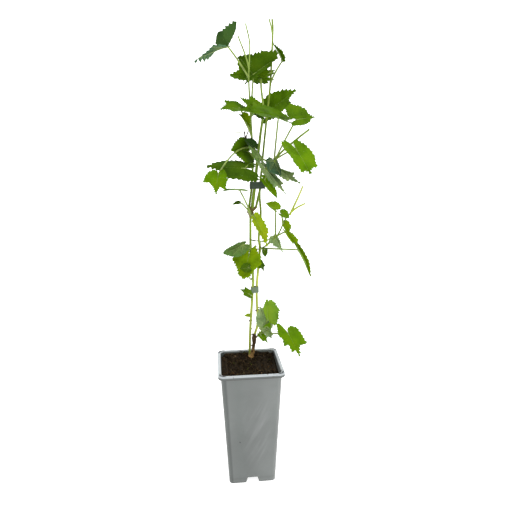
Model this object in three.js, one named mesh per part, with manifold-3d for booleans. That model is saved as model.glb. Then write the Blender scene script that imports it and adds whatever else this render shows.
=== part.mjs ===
// A young grapevine in a tall square pot: woody trunk, green canes, two tape ties
// and masses of lobed leaves. Millimetres, +Z up, +Y to the back. The origin is the
// middle of the pot's flat underside.
import * as THREE from "three";
import { mergeVertices } from "three/addons/utils/BufferGeometryUtils.js";
import Module from "manifold-3d";

const wasm = await Module();
wasm.setup();

// ---------------------------------------------------------------- driving sizes
const GAP = 0.3; // clearance between neighbouring solids
const MERGE = 0.25; // shorter edges than this are merged after joining

const POT = {
  height: 230,
  rimSide: 124, // outside of the lip
  bodyTop: 114, // outside of the wall just under the lip
  baseSide: 90,
  lipDrop: 7, // height of the lip's skirt
  wall: 1.6,
  floor: 2.5,
  topCorner: 10,
  baseCorner: 8,
};
const DRAIN = { width: 26, topWidth: 19, height: 11, inward: 9 };

const SOIL = {
  level: 214, // mean height of the surface
  backRise: 9, // extra height at the back wall
  heap: 7, // extra height round the trunk
  heapSpread: 24,
  lumps: 2,
  seatRadius: 11, // flat the trunk stands on
  seatDepth: 12,
};

// Old stub: its line and radii from the foot up, and how far each ring leans.
const TRUNK = {
  foot: [6.5, 37, 224],
  route: [
    [0, 0, 0], [0.5, 0, 2.5], [2.5, 0, 7], [4, -2, 14], [6, -4, 31], [6, -5, 41], [7, -6, 50],
  ],
  radii: [6.5, 5.2, 4.4, 3.4, 3.4, 4.8, 3.4],
  leans: [0, 0, 0.3, 0.2, 0.1, 0.1, 0],
  spur: { route: [[-2, 0, 3], [-2.7, -1, 13.5]], radii: [3.4, 2.4] },
};

// Each cane: a few points of its centre line, thickness at the foot and at the tip.
const CANES = {
  left: {
    route: [
      [3.8, 36, 238], [5, 32, 283], [10.5, 27, 368], [11, 24, 395], [7, 21, 448], [7, 19, 512],
    ],
    thick: 4.6, thin: 4.2,
  },
  right: {
    route: [
      [14.4, 31, 275], [20, 30, 300], [18.5, 28, 368], [25, 25, 447], [23, 24, 470],
      [27, 22, 516], [25, 20, 555], [30, 22, 607], [40, 28, 692], [48, 36, 753],
      [53, 38, 839], [52, 38, 863],
    ],
    thick: 4.4, thin: 2.2,
  },
  tall: {
    route: [
      [4.5, 19, 528], [10.6, 21.6, 571], [13, 25, 620], [10, 24, 697], [7, 20, 760],
      [9.5, 20, 814], [2.5, 18, 848],
    ],
    thick: 4, thin: 1.6,
  },
  middle: {
    route: [
      [10, 14, 528], [15.5, 13.5, 571], [20, 12, 610], [26, 12, 658], [32, 14, 702],
      [30, 24, 740], [30, 30, 758],
    ],
    thick: 5, thin: 2.6,
  },
  side: {
    route: [
      [17, 16, 528], [27.5, 12.5, 571], [39, 6, 598], [60, -4, 626], [88, -15, 650],
      [109, -22, 666],
    ],
    thick: 4.2, thin: 3,
  },
  low: { route: [[16.8, 28.2, 268], [22.5, 22.5, 278], [31, 15, 288]], thick: 3, thin: 2.4 },
  shared: { route: [[8, 10.8, 512], [6.5, 10, 524]], thick: 3, thin: 2.4 },
  tendril: {
    route: [[78, -3, 515], [82, -4, 524], [92, -7, 546], [101, -10, 568]], thick: 3.2, thin: 2.4,
  },
  tendril_fork: { route: [[80, -3, 520], [90, -9, 529], [103, -20, 537]], thick: 3, thin: 2.2 },
  bare_stalk: { route: [[8, 20, 774], [2, 18, 794.5], [-11, 17, 827]], thick: 2.4, thin: 1.8 },
  sprig: { route: [[53, 38, 834], [50, 34, 848], [45, 28, 860]], thick: 2.4, thin: 1.8 },
  lateral: {
    route: [[25, 25, 448], [36, 14, 457], [56, -2, 479], [68, -4, 505], [78, -3, 517]],
    thick: 2.8, thin: 1.8,
  },
};

const SPAN_STEPS = 10; // points of a cane's line between two points of its route
const RING_SPACING = 22;

// Old wood where the left cane ends and three young canes start.
const KNOT = {
  centre: [7.5, 17.5, 520],
  half: 6.2,
  middle: 5.4,
  end: 3.7,
  arm: 2.8,
  arms: { tall: 528, middle: 528, side: 528, left: 512 }, // cane and the height it starts at
};

// Bare stretches of cane, from one height to another.
const BOUGHS = {
  left_cane_lower: { cane: "left", low: 238, high: 300 },
  left_cane_upper: { cane: "left", low: 482, high: 512 },
  right_cane_lower: { cane: "right", low: 276, high: 418 },
  right_cane_upper: { cane: "right", low: 466, high: 690 },
  tall_cane: { cane: "tall", low: 528, high: 600 },
  middle_cane: { cane: "middle", low: 528, high: 685 },
  side_cane: { cane: "side", low: 528, high: 600 },
};

const TIES = {
  upper_tie: { centre: [20.3, 17, 570], half: [14.3, 9.2], height: 16, corner: 3.5, tilt: 0 },
  lower_tie: { centre: [14.4, 27.8, 367.5], half: [8, 4.6], height: 15, corner: 3, tilt: 6 },
};
const TAPE = 0.9;

// Half edges of a leaf as [angle from the tip, reach], seen from its stalk, at full size 1.
const SHAPES = {
  lobed: [[0, 1], [20, 0.66], [42, 0.78], [68, 0.55], [95, 0.54], [125, 0.42], [155, 0.5]],
  plain: [[0, 1], [25, 0.86], [50, 0.8], [78, 0.68], [108, 0.56], [138, 0.42]],
  young: [[0, 1], [18, 0.66], [40, 0.56], [70, 0.42], [105, 0.26]],
  winged: [[0, 1], [30, 0.36], [52, 0.33], [74, 0.5], [92, 0.45], [112, 0.58], [128, 0.72]],
  full: [[0, 1], [20, 0.95], [42, 0.78], [68, 0.84], [95, 0.66], [125, 0.42], [155, 0.5]],
  star: [
    [0, 1], [20, 0.66], [40, 0.66], [50, 0.62], [64, 0.94], [84, 0.78], [100, 0.68], [125, 0.42],
    [150, 0.2],
  ],
  broad: [[0, 1], [16, 0.74], [36, 0.8], [60, 0.8], [90, 0.84], [116, 0.76], [140, 0.45]],
  jagged: [
    [0, 1], [14, 0.64], [25, 0.8], [42, 0.5], [56, 0.72], [70, 0.52], [95, 0.55], [118, 0.54],
    [140, 0.56], [158, 0.55],
  ],
  notched: [[0, 1], [20, 0.64], [42, 0.88], [64, 0.62], [95, 0.5], [120, 0.38], [150, 0.2]],
  toothy: [
    [0, 1], [11, 0.86], [27, 0.95], [36, 0.82], [48, 0.78], [68, 0.62], [95, 0.52], [125, 0.44],
    [152, 0.4],
  ],
  hand: [
    [0, 1], [12, 1.1], [22, 0.92], [34, 0.86], [48, 0.74], [68, 0.74], [92, 0.87], [108, 0.62],
    [128, 0.42], [155, 0.5],
  ],
  corner: [[0, 1], [20, 0.76], [42, 1], [60, 0.72], [68, 0.6], [95, 0.52], [125, 0.42], [155, 0.3]],
  flared: [
    [0, 1], [20, 0.95], [42, 0.78], [66, 0.62], [83, 0.86], [97, 0.7], [114, 0.68], [125, 0.42],
    [155, 0.5],
  ],
  slim: [[0, 1], [20, 0.76], [42, 0.66], [68, 0.62], [95, 0.54], [125, 0.42], [155, 0.5]],
  curled: [
    [0, 1], [20, 0.72], [38, 0.78], [56, 0.5], [72, 0.3], [92, 0.7], [112, 0.8], [128, 0.72],
    [150, 0.4],
  ],
  wavy: [[0, 1], [20, 0.86], [38, 0.8], [60, 0.5], [85, 0.4], [110, 0.22]],
  skewed: [
    [0, 1], [10, 0.86], [23, 0.94], [33, 0.8], [46, 0.78], [68, 0.62], [95, 0.62], [125, 0.6],
    [152, 0.45],
  ],
  drooped: [
    [0, 1], [18, 0.68], [28, 0.7], [40, 1.02], [52, 0.84], [66, 0.84], [80, 0.62], [95, 0.5],
    [125, 0.4], [150, 0.2],
  ],
  wide: [
    [0, 1], [7, 0.9], [13, 1.04], [25, 1], [37, 0.88], [47, 0.87], [54, 0.68], [69, 0.6], [98, 0.47],
    [120, 0.44], [140, 0.22],
  ],
  narrow: [[0, 1], [20, 0.88], [44, 0.84], [52, 0.46], [80, 0.2], [120, 0.1]],
  round: [[0, 1], [14, 0.97], [32, 0.92], [55, 0.82], [80, 0.68], [110, 0.5], [138, 0.35]],
};
const TOOTH = 0.05;
const BLADE = { thickness: 0.8, stalk: 2, stalkTip: 1.6, rooted: 0.12, toothedFrom: 50 };
// Edge angles past which the fans of a blade move on to the next point of the midrib.
const RIB_ANGLES = [5, 38, 75];
const MIDRIB = [1, 0.66, 0.33, 0];

// What a leaf has unless its entry says otherwise.
const USUAL = { shape: "lobed", left: 0.9, right: 0.9, arch: 4, fold: 10, droop: 12, twist: 0 };

// Masses of foliage. stems: stretches of cane fused into the mass. leaves: the cane and
// height of the node, the way the stalk turns (degrees from +X towards +Y), how far it
// reaches and rises, then the blade's size and the heading, dip and roll of its midrib.
// behind: heights of the leaves added at the back by the seeded rule.
const MASSES = {
  low_right_leaves: {
    stems: [["low", 268, 290]],
    leaves: [
      {
        on: "low", node: 280, turn: -25, reach: 57, rise: 6, size: 48, heading: -50, dip: -48,
        roll: -10, arch: -2, shape: "jagged", leftShape: "notched",
      },
      {
        on: "low", node: 288, turn: -52, reach: 11, rise: 25, size: 42, heading: 250, dip: 75,
        roll: 170, fold: 25, shape: "wide", leftShape: "narrow", left: 0.35, right: 1,
      },
      {
        on: "low", node: 288, turn: -60, reach: 6, rise: 10, size: 40, heading: 190, dip: 74,
        roll: -80, shape: "plain", left: 0.6, right: 0.6,
      },
      {
        on: "low", node: 278, turn: -60, reach: 5, rise: -3, size: 20, heading: -45, dip: -30,
        roll: -40, left: 0.7, right: 0.5,
      },
      {
        on: "low", node: 288, turn: -10, reach: 8, rise: -3, size: 16, heading: -60, dip: -50,
        roll: 170,
      },
      {
        on: "low", node: 288, turn: -30, reach: 4, rise: 4, size: 20, heading: -55, dip: 50,
        roll: -150, shape: "young",
      },
    ],
    behind: [],
  },
  low_left_leaves: {
    stems: [["left", 300, 384]],
    leaves: [
      {
        on: "left", node: 316, turn: 225, reach: 4, rise: -1, size: 12, heading: 195, dip: 5, roll: 40,
        shape: "young",
      },
      {
        on: "left", node: 345, turn: 240, reach: 14, rise: 17, size: 21, heading: 205, dip: 35,
        roll: 60, shape: "lobed", left: 0.8, right: 0.8,
      },
    ],
    behind: [],
  },
  mid_left_leaves: {
    stems: [["left", 384, 482]],
    leaves: [
      {
        on: "left", node: 455, turn: 215, reach: 19, rise: 4, size: 42, heading: 200, dip: -22,
        roll: 225, droop: 20, shape: "round", left: 0.38, right: 0.55,
      },
      {
        on: "left", node: 440, turn: 240, reach: 9, rise: -1, size: 45, heading: 235, dip: -60,
        roll: 15, shape: "full", left: 0.8, right: 0.78,
      },
      {
        on: "left", node: 412, turn: 250, reach: 27, rise: 6, size: 16, heading: 195, dip: 0, roll: 60,
        shape: "plain",
      },
      {
        on: "left", node: 386, turn: 210, reach: 7, rise: 4, size: 12, heading: 200, dip: 60, roll: 20,
        shape: "young",
      },
      {
        on: "left", node: 402, turn: 215, reach: 6, rise: 4, size: 13, heading: 160, dip: 35, roll: 60,
        shape: "young",
      },
    ],
    behind: [440],
  },
  mid_right_leaves: {
    stems: [
      ["right", 418, 466],
      ["lateral", 447.5, 517],
      ["tendril", 516, 568],
      ["tendril_fork", 521, 537],
    ],
    leaves: [
      {
        on: "right", node: 427, turn: -80, reach: 4, rise: -3, size: 20, heading: -50, dip: -50,
        roll: -20, left: 0.55,
      },
      {
        on: "right", node: 449, turn: -55, reach: 14, rise: 0, size: 14, heading: -90, dip: -62,
        roll: 0, shape: "plain", left: 0.6, right: 0.6,
      },
      {
        on: "right", node: 450, turn: -31, reach: 77, rise: 2, size: 54, heading: -35, dip: -58,
        roll: -35, arch: 0, fold: 70, shape: "plain", left: 0.3, right: 0.3,
      },
      {
        on: "lateral", node: 470, turn: -28, reach: 24, rise: 15, size: 40, heading: -35, dip: -48,
        roll: -35, fold: 45, shape: "notched", leftShape: "curled", left: 0.5, right: 0.5,
      },
      {
        on: "lateral", node: 474, turn: 85, reach: 8, rise: 51, size: 22, heading: 200, dip: 32,
        roll: 100, fold: 20, shape: "plain", left: 0.2, right: 1,
      },
      {
        on: "lateral", node: 500, turn: 190, reach: 4, rise: 18, size: 18, heading: -40, dip: -23,
        roll: -60, shape: "plain", right: 0.35,
      },
      {
        on: "lateral", node: 462, turn: -40, reach: 11, rise: 15, size: 36, heading: -40, dip: -55,
        roll: 120, twist: -60, shape: "young", right: 0.35,
      },
    ],
    behind: [458],
  },
  knot_leaves: {
    stems: [["shared", 512, 524]],
    leaves: [
      {
        on: "shared", node: 518, turn: 215, reach: 26, rise: 44, size: 34, heading: 205, dip: 6,
        roll: 0, fold: 5,
      },
      {
        on: "shared", node: 516, turn: 205, reach: 21, rise: 23, size: 18, heading: 208, dip: -5,
        roll: 30, shape: "young", left: 0.5,
      },
      {
        on: "shared", node: 514, turn: -50, reach: 8, rise: 0, size: 62, heading: -40, dip: -57,
        roll: -100, fold: 0, droop: -10, shape: "young", leftShape: "wavy", left: 0.55, right: 0.4,
      },
    ],
    behind: [],
  },
  left_leaves: {
    stems: [["tall", 600, 655]],
    leaves: [
      {
        on: "tall", node: 612, turn: 246, reach: 41, rise: -12, size: 66, heading: 189, dip: 5,
        roll: 47, fold: -12, droop: 10, shape: "plain", leftShape: "broad", left: 0.5, right: 0.5,
      },
      {
        on: "tall", node: 638, turn: 223, reach: 88, rise: -48, size: 34, heading: 236, dip: -69,
        roll: 0, arch: 30, fold: 5, shape: "star", leftShape: "drooped",
      },
      {
        on: "tall", node: 622, turn: 199, reach: 9, rise: 9, size: 42, heading: 228, dip: 4, roll: 75,
        shape: "plain",
      },
      {
        on: "tall", node: 640, turn: 291, reach: 10, rise: -3, size: 25, heading: 210, dip: 37,
        roll: 60, shape: "plain",
      },
    ],
    behind: [606],
  },
  side_leaves: {
    stems: [["side", 600, 666]],
    leaves: [
      {
        on: "side", node: 614, turn: -42, reach: 45, rise: 18, size: 50, heading: -40, dip: -51,
        roll: -20, shape: "skewed", leftShape: "toothy", left: 0.85, right: 1,
      },
      {
        on: "side", node: 618, turn: -30, reach: 38, rise: 64, size: 39, heading: 20, dip: 12,
        roll: -60, shape: "broad", left: 0.9, right: 0.45,
      },
      {
        on: "side", node: 614, turn: -60, reach: 12, rise: 73, size: 70, heading: 199, dip: 13,
        roll: 30, droop: 15, left: 0.8, right: 0.8,
      },
      {
        on: "side", node: 604, turn: 220, reach: 15, rise: -25, size: 38, heading: -30, dip: -48,
        roll: -35, arch: 0, shape: "plain", left: 0.32, right: 0.35,
      },
      {
        on: "side", node: 602, turn: 235, reach: 15, rise: -2, size: 60, heading: -37, dip: -48,
        roll: 125, fold: 55, left: 0.36, right: 0.65,
      },
      {
        on: "side", node: 606, turn: 184, reach: 19, rise: 12, size: 31, heading: 200, dip: 42,
        roll: -120, shape: "young",
      },
      {
        on: "side", node: 612, turn: -80, reach: 8, rise: 0, size: 36, heading: -75, dip: -51,
        roll: 180, shape: "plain", left: 0.7, right: 0.35,
      },
      {
        on: "side", node: 604, turn: -40, reach: 14, rise: -2, size: 52, heading: -25, dip: -40,
        roll: 150, fold: 30, twist: -90, left: 0.3, right: 0.45,
      },
    ],
    behind: [],
  },
  upper_left_leaves: {
    stems: [["tall", 655, 690]],
    leaves: [
      {
        on: "tall", node: 664, turn: 227, reach: 33, rise: 40, size: 37, heading: 212, dip: 3,
        roll: 38, droop: 25,
      },
      {
        on: "tall", node: 659, turn: 229, reach: 31, rise: 34, size: 29, heading: -30, dip: -47,
        roll: -30, fold: 30, shape: "young", left: 0.9, right: 1,
      },
    ],
    behind: [],
  },
  upper_right_leaves: {
    stems: [["right", 690, 745]],
    leaves: [
      {
        on: "right", node: 700, turn: 60, reach: 18, rise: 8, size: 56, heading: -20, dip: 40,
        roll: -60, leftShape: "slim",
      },
    ],
    behind: [706],
  },
  centre_leaves: {
    stems: [["middle", 685, 758]],
    leaves: [
      {
        on: "middle", node: 755, turn: 86, reach: 24, rise: 15, size: 56, heading: 174, dip: 6,
        roll: 75, fold: 12, shape: "corner", leftShape: "flared", left: 0.4, right: 0.6,
      },
      {
        on: "middle", node: 690, turn: 210, reach: 9, rise: 10, size: 39, heading: 198, dip: 34,
        roll: 60,
      },
    ],
    behind: [],
  },
  top_left_leaves: {
    stems: [["tall", 690, 848], ["bare_stalk", 774, 827]],
    leaves: [
      {
        on: "tall", node: 760, turn: 201, reach: 39, rise: 46, size: 62, heading: 188, dip: -19,
        roll: 48, fold: 32, twist: -200, shape: "winged", leftShape: "young", left: 0.35, right: 1,
      },
      {
        on: "tall", node: 692, turn: 37, reach: 7.6, rise: 75, size: 52, heading: -5, dip: 37,
        roll: -55, fold: 25, leftShape: "hand", right: 0.72,
      },
    ],
    behind: [],
  },
  top_right_leaves: {
    stems: [["right", 745, 863], ["sprig", 835, 860]],
    leaves: [
      {
        on: "right", node: 755, turn: -50, reach: 28, rise: 31, size: 34, heading: 205, dip: 60,
        roll: 95, fold: 70, shape: "young", left: 0.75, right: 0.75,
      },
      {
        on: "right", node: 770, turn: 190, reach: 3, rise: 1, size: 27, heading: 188, dip: -20,
        roll: 70, left: 0.4, right: 0.4,
      },
    ],
    behind: [],
  },
};

// Leaves at the back: limits between which the seeded rule chooses.
const BEHIND = {
  turn: [70, 120],
  reach: [14, 24],
  rise: [0, 8],
  size: [36, 48],
  swing: [-30, 30],
  dip: [-10, 15],
  roll: [-15, 15],
};

// ---------------------------------------------------------------- general shapes
const vec = (p) => new THREE.Vector3(...p);
const radians = THREE.MathUtils.degToRad;

// Skin of quads over rings of equal length, closed by flat ends or back on itself.
function loft(rings, ringShaped = false) {
  const count = rings[0].length;
  const positions = rings.flat().flatMap((p) => [p.x, p.y, p.z]);
  const index = [];
  const bands = ringShaped ? rings.length : rings.length - 1;
  for (let k = 0; k < bands; k += 1) {
    const low = k * count;
    const high = ((k + 1) % rings.length) * count;
    for (let i = 0; i < count; i += 1) {
      const j = (i + 1) % count;
      index.push(low + i, low + j, high + j, low + i, high + j, high + i);
    }
  }
  if (!ringShaped) {
    const last = (rings.length - 1) * count;
    for (let i = 1; i < count - 1; i += 1) {
      index.push(0, i + 1, i, last, last + i, last + i + 1);
    }
  }
  return indexed(positions, index);
}

function indexed(positions, index) {
  const geometry = new THREE.BufferGeometry();
  geometry.setAttribute("position", new THREE.Float32BufferAttribute(positions, 3));
  geometry.setIndex(index);
  return geometry;
}

function toSolid(geometry) {
  return new wasm.Manifold(new wasm.Mesh({
    numProp: 3,
    vertProperties: new Float32Array(geometry.attributes.position.array),
    triVerts: new Uint32Array(geometry.index.array),
  }));
}

function toGeometry(solid) {
  const mesh = solid.getMesh();
  return indexed(Array.from(mesh.vertProperties), Array.from(mesh.triVerts));
}

// Joins bodies that cross; a pocket shut in between them is filled.
function fused(geometries) {
  const whole = geometries.map(toSolid).reduce((sum, next) => sum.add(next)).simplify(MERGE);
  const shells = whole.decompose().filter((shell) => shell.volume() > 0);
  return toGeometry(wasm.Manifold.union(shells));
}

// Seeded numbers between 0 and 1.
function dice(seed) {
  let state = seed;
  return () => {
    state = (state * 1103515245 + 12345) % 2147483648;
    return state / 2147483648;
  };
}

// Limb: rings square to a line, each with its own radius.
function limb(points, radii, sides, directions = null) {
  const rings = [];
  let across = null;
  points.forEach((point, k) => {
    const ahead = directions
      ? directions[k]
      : points[Math.min(k + 1, points.length - 1)].clone().sub(points[Math.max(k - 1, 0)]).normalize();
    if (!across) {
      across = Math.abs(ahead.x) < 0.8 ? new THREE.Vector3(1, 0, 0) : new THREE.Vector3(0, 1, 0);
    }
    across = across.clone().addScaledVector(ahead, -across.dot(ahead)).normalize();
    const up = new THREE.Vector3().crossVectors(ahead, across);
    const ring = [];
    for (let i = 0; i < sides; i += 1) {
      const turn = (2 * Math.PI * i) / sides;
      ring.push(point.clone()
        .addScaledVector(across, radii[k] * Math.cos(turn))
        .addScaledVector(up, radii[k] * Math.sin(turn)));
    }
    rings.push(ring);
  });
  return loft(rings);
}

// ---------------------------------------------------------------- pot and soil
function roundedSquare(side, corner, z, steps = 4) {
  const inset = side / 2 - corner;
  const ring = [];
  [[1, 1], [-1, 1], [-1, -1], [1, -1]].forEach(([sx, sy], quarter) => {
    for (let i = 0; i <= steps; i += 1) {
      const turn = (Math.PI / 2) * (quarter + i / steps);
      const x = sx * inset + corner * Math.cos(turn);
      const y = sy * inset + corner * Math.sin(turn);
      ring.push(new THREE.Vector3(x, y, z));
    }
  });
  return ring;
}

// Outside of the tapered wall at a height.
function wallSide(z) {
  return POT.baseSide + ((POT.bodyTop - POT.baseSide) * z) / (POT.height - POT.lipDrop);
}

function wallCorner(z) {
  return POT.baseCorner + ((POT.topCorner - POT.baseCorner) * z) / POT.height;
}

function potBody() {
  const skirt = POT.height - POT.lipDrop;
  const inner = (z) => wallSide(z) - 2 * POT.wall;
  const shell = loft([
    roundedSquare(POT.baseSide, POT.baseCorner, 0),
    roundedSquare(wallSide(skirt), wallCorner(skirt), skirt),
    roundedSquare(POT.rimSide, POT.topCorner + 2, skirt),
    roundedSquare(POT.rimSide, POT.topCorner + 2, POT.height),
    roundedSquare(inner(POT.height), wallCorner(POT.height), POT.height),
    roundedSquare(inner(POT.floor), POT.baseCorner, POT.floor),
  ]);
  return toGeometry([0, 1, 2, 3].reduce((pot, side) => pot.subtract(drainCut(side)), toSolid(shell)));
}

// Slanted notch in the foot of one wall, the water's way out.
function drainCut(side) {
  const outline = new THREE.Shape([
    new THREE.Vector2(-DRAIN.width / 2, -1),
    new THREE.Vector2(DRAIN.width / 2, -1),
    new THREE.Vector2(DRAIN.topWidth / 2, DRAIN.height),
    new THREE.Vector2(-DRAIN.topWidth / 2, DRAIN.height),
  ]);
  const cut = new THREE.ExtrudeGeometry(outline, { depth: DRAIN.inward + 2, bevelEnabled: false });
  cut.rotateX(Math.PI / 2);
  cut.translate(0, -POT.baseSide / 2 + DRAIN.inward, 0);
  cut.rotateZ((side * Math.PI) / 2);
  return toSolid(welded(cut));
}

function welded(geometry) {
  geometry.deleteAttribute("normal");
  geometry.deleteAttribute("uv");
  return mergeVertices(geometry, 1e-4);
}

function soilHeight(x, y) {
  const half = POT.bodyTop / 2;
  const away = Math.hypot(x - TRUNK.foot[0], y - TRUNK.foot[1]) / SOIL.heapSpread;
  const lumps = SOIL.lumps * (Math.sin(x * 0.23 + 1) * Math.cos(y * 0.19) + Math.sin((x - y) * 0.37));
  return SOIL.level + (SOIL.backRise * Math.max(0, y)) / half + SOIL.heap * Math.exp(-away * away) + lumps;
}

// Upright drum under or over the trunk's foot, about a middle height.
function seatDrum(middle) {
  const drum = new THREE.CylinderGeometry(SOIL.seatRadius, SOIL.seatRadius, SOIL.seatDepth, 16);
  drum.rotateX(Math.PI / 2);
  drum.translate(TRUNK.foot[0], TRUNK.foot[1], middle);
  return toSolid(welded(drum));
}

function soilBody() {
  const side = (z) => wallSide(z) - 2 * (POT.wall + GAP);
  const bottom = POT.floor + GAP;
  const rings = [roundedSquare(side(bottom), POT.baseCorner - GAP, bottom)];
  [1, 0.8, 0.55, 0.25].forEach((share) => {
    const edge = roundedSquare(side(SOIL.level) * share, POT.topCorner * share, 0);
    rings.push(edge.map((p) => new THREE.Vector3(p.x, p.y, soilHeight(p.x, p.y))));
  });
  const seat = TRUNK.foot[2] - GAP;
  const ground = toSolid(loft(rings));
  const half = SOIL.seatDepth / 2;
  return toGeometry(ground.add(seatDrum(seat - half)).subtract(seatDrum(seat + half)));
}

// ---------------------------------------------------------------- trunk, canes, ties
function trunkBody() {
  const placed = (route) => route.map((p) => vec(p).add(vec(TRUNK.foot)));
  const leaning = (leans) => leans.map((lean) => new THREE.Vector3(lean, -lean / 2, 1).normalize());
  const stub = limb(placed(TRUNK.route), TRUNK.radii, 10, leaning(TRUNK.leans));
  const spur = limb(placed(TRUNK.spur.route), TRUNK.spur.radii, 8, leaning([0, 0]));
  return fused([stub, spur]);
}

const canes = Object.fromEntries(Object.entries(CANES).map(([name, cane]) => {
  const curve = new THREE.CatmullRomCurve3(cane.route.map(vec), false, "catmullrom", 0.5);
  return [name, { ...cane, line: curve.getPoints((cane.route.length - 1) * SPAN_STEPS) }];
}));

// Point of a cane's centre line at a height.
function onCane(name, height) {
  const line = canes[name].line;
  let k = 1;
  while (k < line.length - 1 && line[k].z < height) {
    k += 1;
  }
  const share = (height - line[k - 1].z) / (line[k].z - line[k - 1].z);
  return line[k - 1].clone().lerp(line[k], share);
}

function caneRadius(name, height) {
  const { line, thick, thin } = canes[name];
  const foot = line[0].z;
  const share = (height - foot) / (line[line.length - 1].z - foot);
  return THREE.MathUtils.lerp(thick, thin, share) / 2;
}

function caneStretch(name, low, high, sides = 6) {
  const steps = Math.max(1, Math.round((high - low) / RING_SPACING));
  const points = [];
  const radii = [];
  const directions = [];
  for (let k = 0; k <= steps; k += 1) {
    const height = THREE.MathUtils.lerp(low + GAP / 2, high - GAP / 2, k / steps);
    points.push(onCane(name, height));
    radii.push(caneRadius(name, height));
    directions.push(onCane(name, height + 1).sub(onCane(name, height - 1)).normalize());
  }
  return limb(points, radii, sides, directions);
}

function knotBody() {
  const [x, y, z] = KNOT.centre;
  const line = [-1, 0, 1].map((k) => vec([x, y, z + k * KNOT.half]));
  const core = limb(line, [KNOT.end, KNOT.middle, KNOT.end], 9);
  return fused([core, ...Object.entries(KNOT.arms).map(([cane, height]) => {
    const tip = onCane(cane, height + (height < z ? GAP : -GAP) / 2);
    const ahead = onCane(cane, height + 1).sub(onCane(cane, height - 1)).normalize();
    return limb([vec(KNOT.centre), tip], [KNOT.arm, KNOT.arm], 7, [ahead, ahead]);
  })]);
}

function tieBody({ centre, half, height, corner, tilt }) {
  const ring = (inset, z) => {
    const square = roundedSquare(2, Math.min(0.9, corner / half[0]), 0, 3);
    return square.map((p) => {
      const x = p.x * (half[0] - inset);
      return new THREE.Vector3(
        centre[0] + x,
        centre[1] + p.y * (half[1] - inset),
        centre[2] + z + x * Math.tan(radians(tilt)),
      );
    });
  };
  const top = height / 2;
  return loft([ring(0, -top), ring(0, top), ring(TAPE, top), ring(TAPE, -top)], true);
}

// ---------------------------------------------------------------- leaves
// Half of the edge, from the point beside the tip round to the notch; large leaves are toothed.
function halfEdge(leaf, shape, width) {
  const lobes = SHAPES[shape];
  const edge = [];
  lobes.forEach(([angle, reach], k) => {
    if (k > 0) {
      edge.push([angle, reach]);
    }
    if (k < lobes.length - 1 && leaf.size > BLADE.toothedFrom) {
      const [nextAngle, nextReach] = lobes[k + 1];
      edge.push([(angle + nextAngle) / 2, (reach + nextReach) / 2 + TOOTH]);
    }
  });
  return edge.map(([angle, reach]) => ({
    angle,
    ahead: reach * Math.cos(radians(angle)),
    aside: reach * Math.sin(radians(angle)) * width,
  }));
}

// Point of the blade after folding at the midrib and drooping along it.
function bladePoint(leaf, ahead, aside, depth) {
  const fold = radians(leaf.fold);
  const droop = radians(leaf.droop);
  const twist = radians(leaf.twist) * Math.max(0, ahead);
  const raised = Math.abs(aside) * Math.sin(fold) - depth;
  const left = aside * Math.cos(fold) * Math.cos(twist) + raised * Math.sin(twist);
  const lift = raised * Math.cos(twist) - aside * Math.cos(fold) * Math.sin(twist);
  const bend = droop * ahead;
  const along = Math.abs(droop) < 0.01 ? ahead : Math.sin(bend) / droop;
  const fall = Math.abs(droop) < 0.01 ? 0 : (1 - Math.cos(bend)) / droop;
  return new THREE.Vector3(
    along + lift * Math.sin(bend),
    left,
    lift * Math.cos(bend) - fall,
  ).multiplyScalar(leaf.size);
}

// Turns the leaf's own axes (ahead, left, up) to its heading, dip and roll.
function bladeFrame(leaf) {
  const heading = radians(leaf.heading);
  const dip = radians(leaf.dip);
  const roll = radians(leaf.roll);
  const ahead = new THREE.Vector3(
    Math.cos(dip) * Math.cos(heading), Math.cos(dip) * Math.sin(heading), Math.sin(dip));
  const level = new THREE.Vector3(
    -Math.sin(dip) * Math.cos(heading), -Math.sin(dip) * Math.sin(heading), Math.cos(dip));
  const left = new THREE.Vector3().crossVectors(level, ahead);
  const up = level.clone().multiplyScalar(Math.cos(roll)).addScaledVector(left, Math.sin(roll));
  return new THREE.Matrix4().makeBasis(ahead, new THREE.Vector3().crossVectors(up, ahead), up);
}

function blade(leaf, root) {
  const half = halfEdge(leaf, leaf.leftShape ?? leaf.shape, leaf.left);
  const other = halfEdge(leaf, leaf.shape, leaf.right);
  const outline = [
    ...half.map((p) => [p.ahead, p.aside]),
    [0, 0],
    ...other.map((p) => [p.ahead, -p.aside]).reverse(),
    [1, 0],
  ];
  const flat = [...outline, [MIDRIB[1], 0], [MIDRIB[2], 0]];
  const stalk = half.length;
  const tip = outline.length - 1;
  const ribs = [tip, outline.length, outline.length + 1, stalk];
  const faces = [];
  [half, other].forEach((points, side) => {
    const edgeOf = (k) => (side === 0 ? k : tip - 1 - k);
    const add = (a, b, c) => faces.push(side === 0 ? [a, b, c] : [a, c, b]);
    let rib = 0;
    points.forEach((point, k) => {
      while (rib < 3 && point.angle > RIB_ANGLES[rib]) {
        add(ribs[rib + 1], ribs[rib], edgeOf(k));
        rib += 1;
      }
      if (k < points.length - 1) {
        add(ribs[rib], edgeOf(k), edgeOf(k + 1));
      }
    });
  });
  const frame = bladeFrame(leaf).setPosition(root);
  const thickness = BLADE.thickness / leaf.size;
  const positions = [0, thickness].flatMap((depth) => flat.flatMap(([ahead, aside]) => (
    bladePoint(leaf, ahead, aside, depth).applyMatrix4(frame).toArray())));
  const under = flat.length;
  const index = faces.flatMap(([a, b, c]) => [a, b, c, under + a, under + c, under + b]);
  outline.forEach((_, k) => {
    const next = (k + 1) % outline.length;
    index.push(k, under + next, next, k, under + k, under + next);
  });
  return indexed(positions, index);
}

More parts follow.
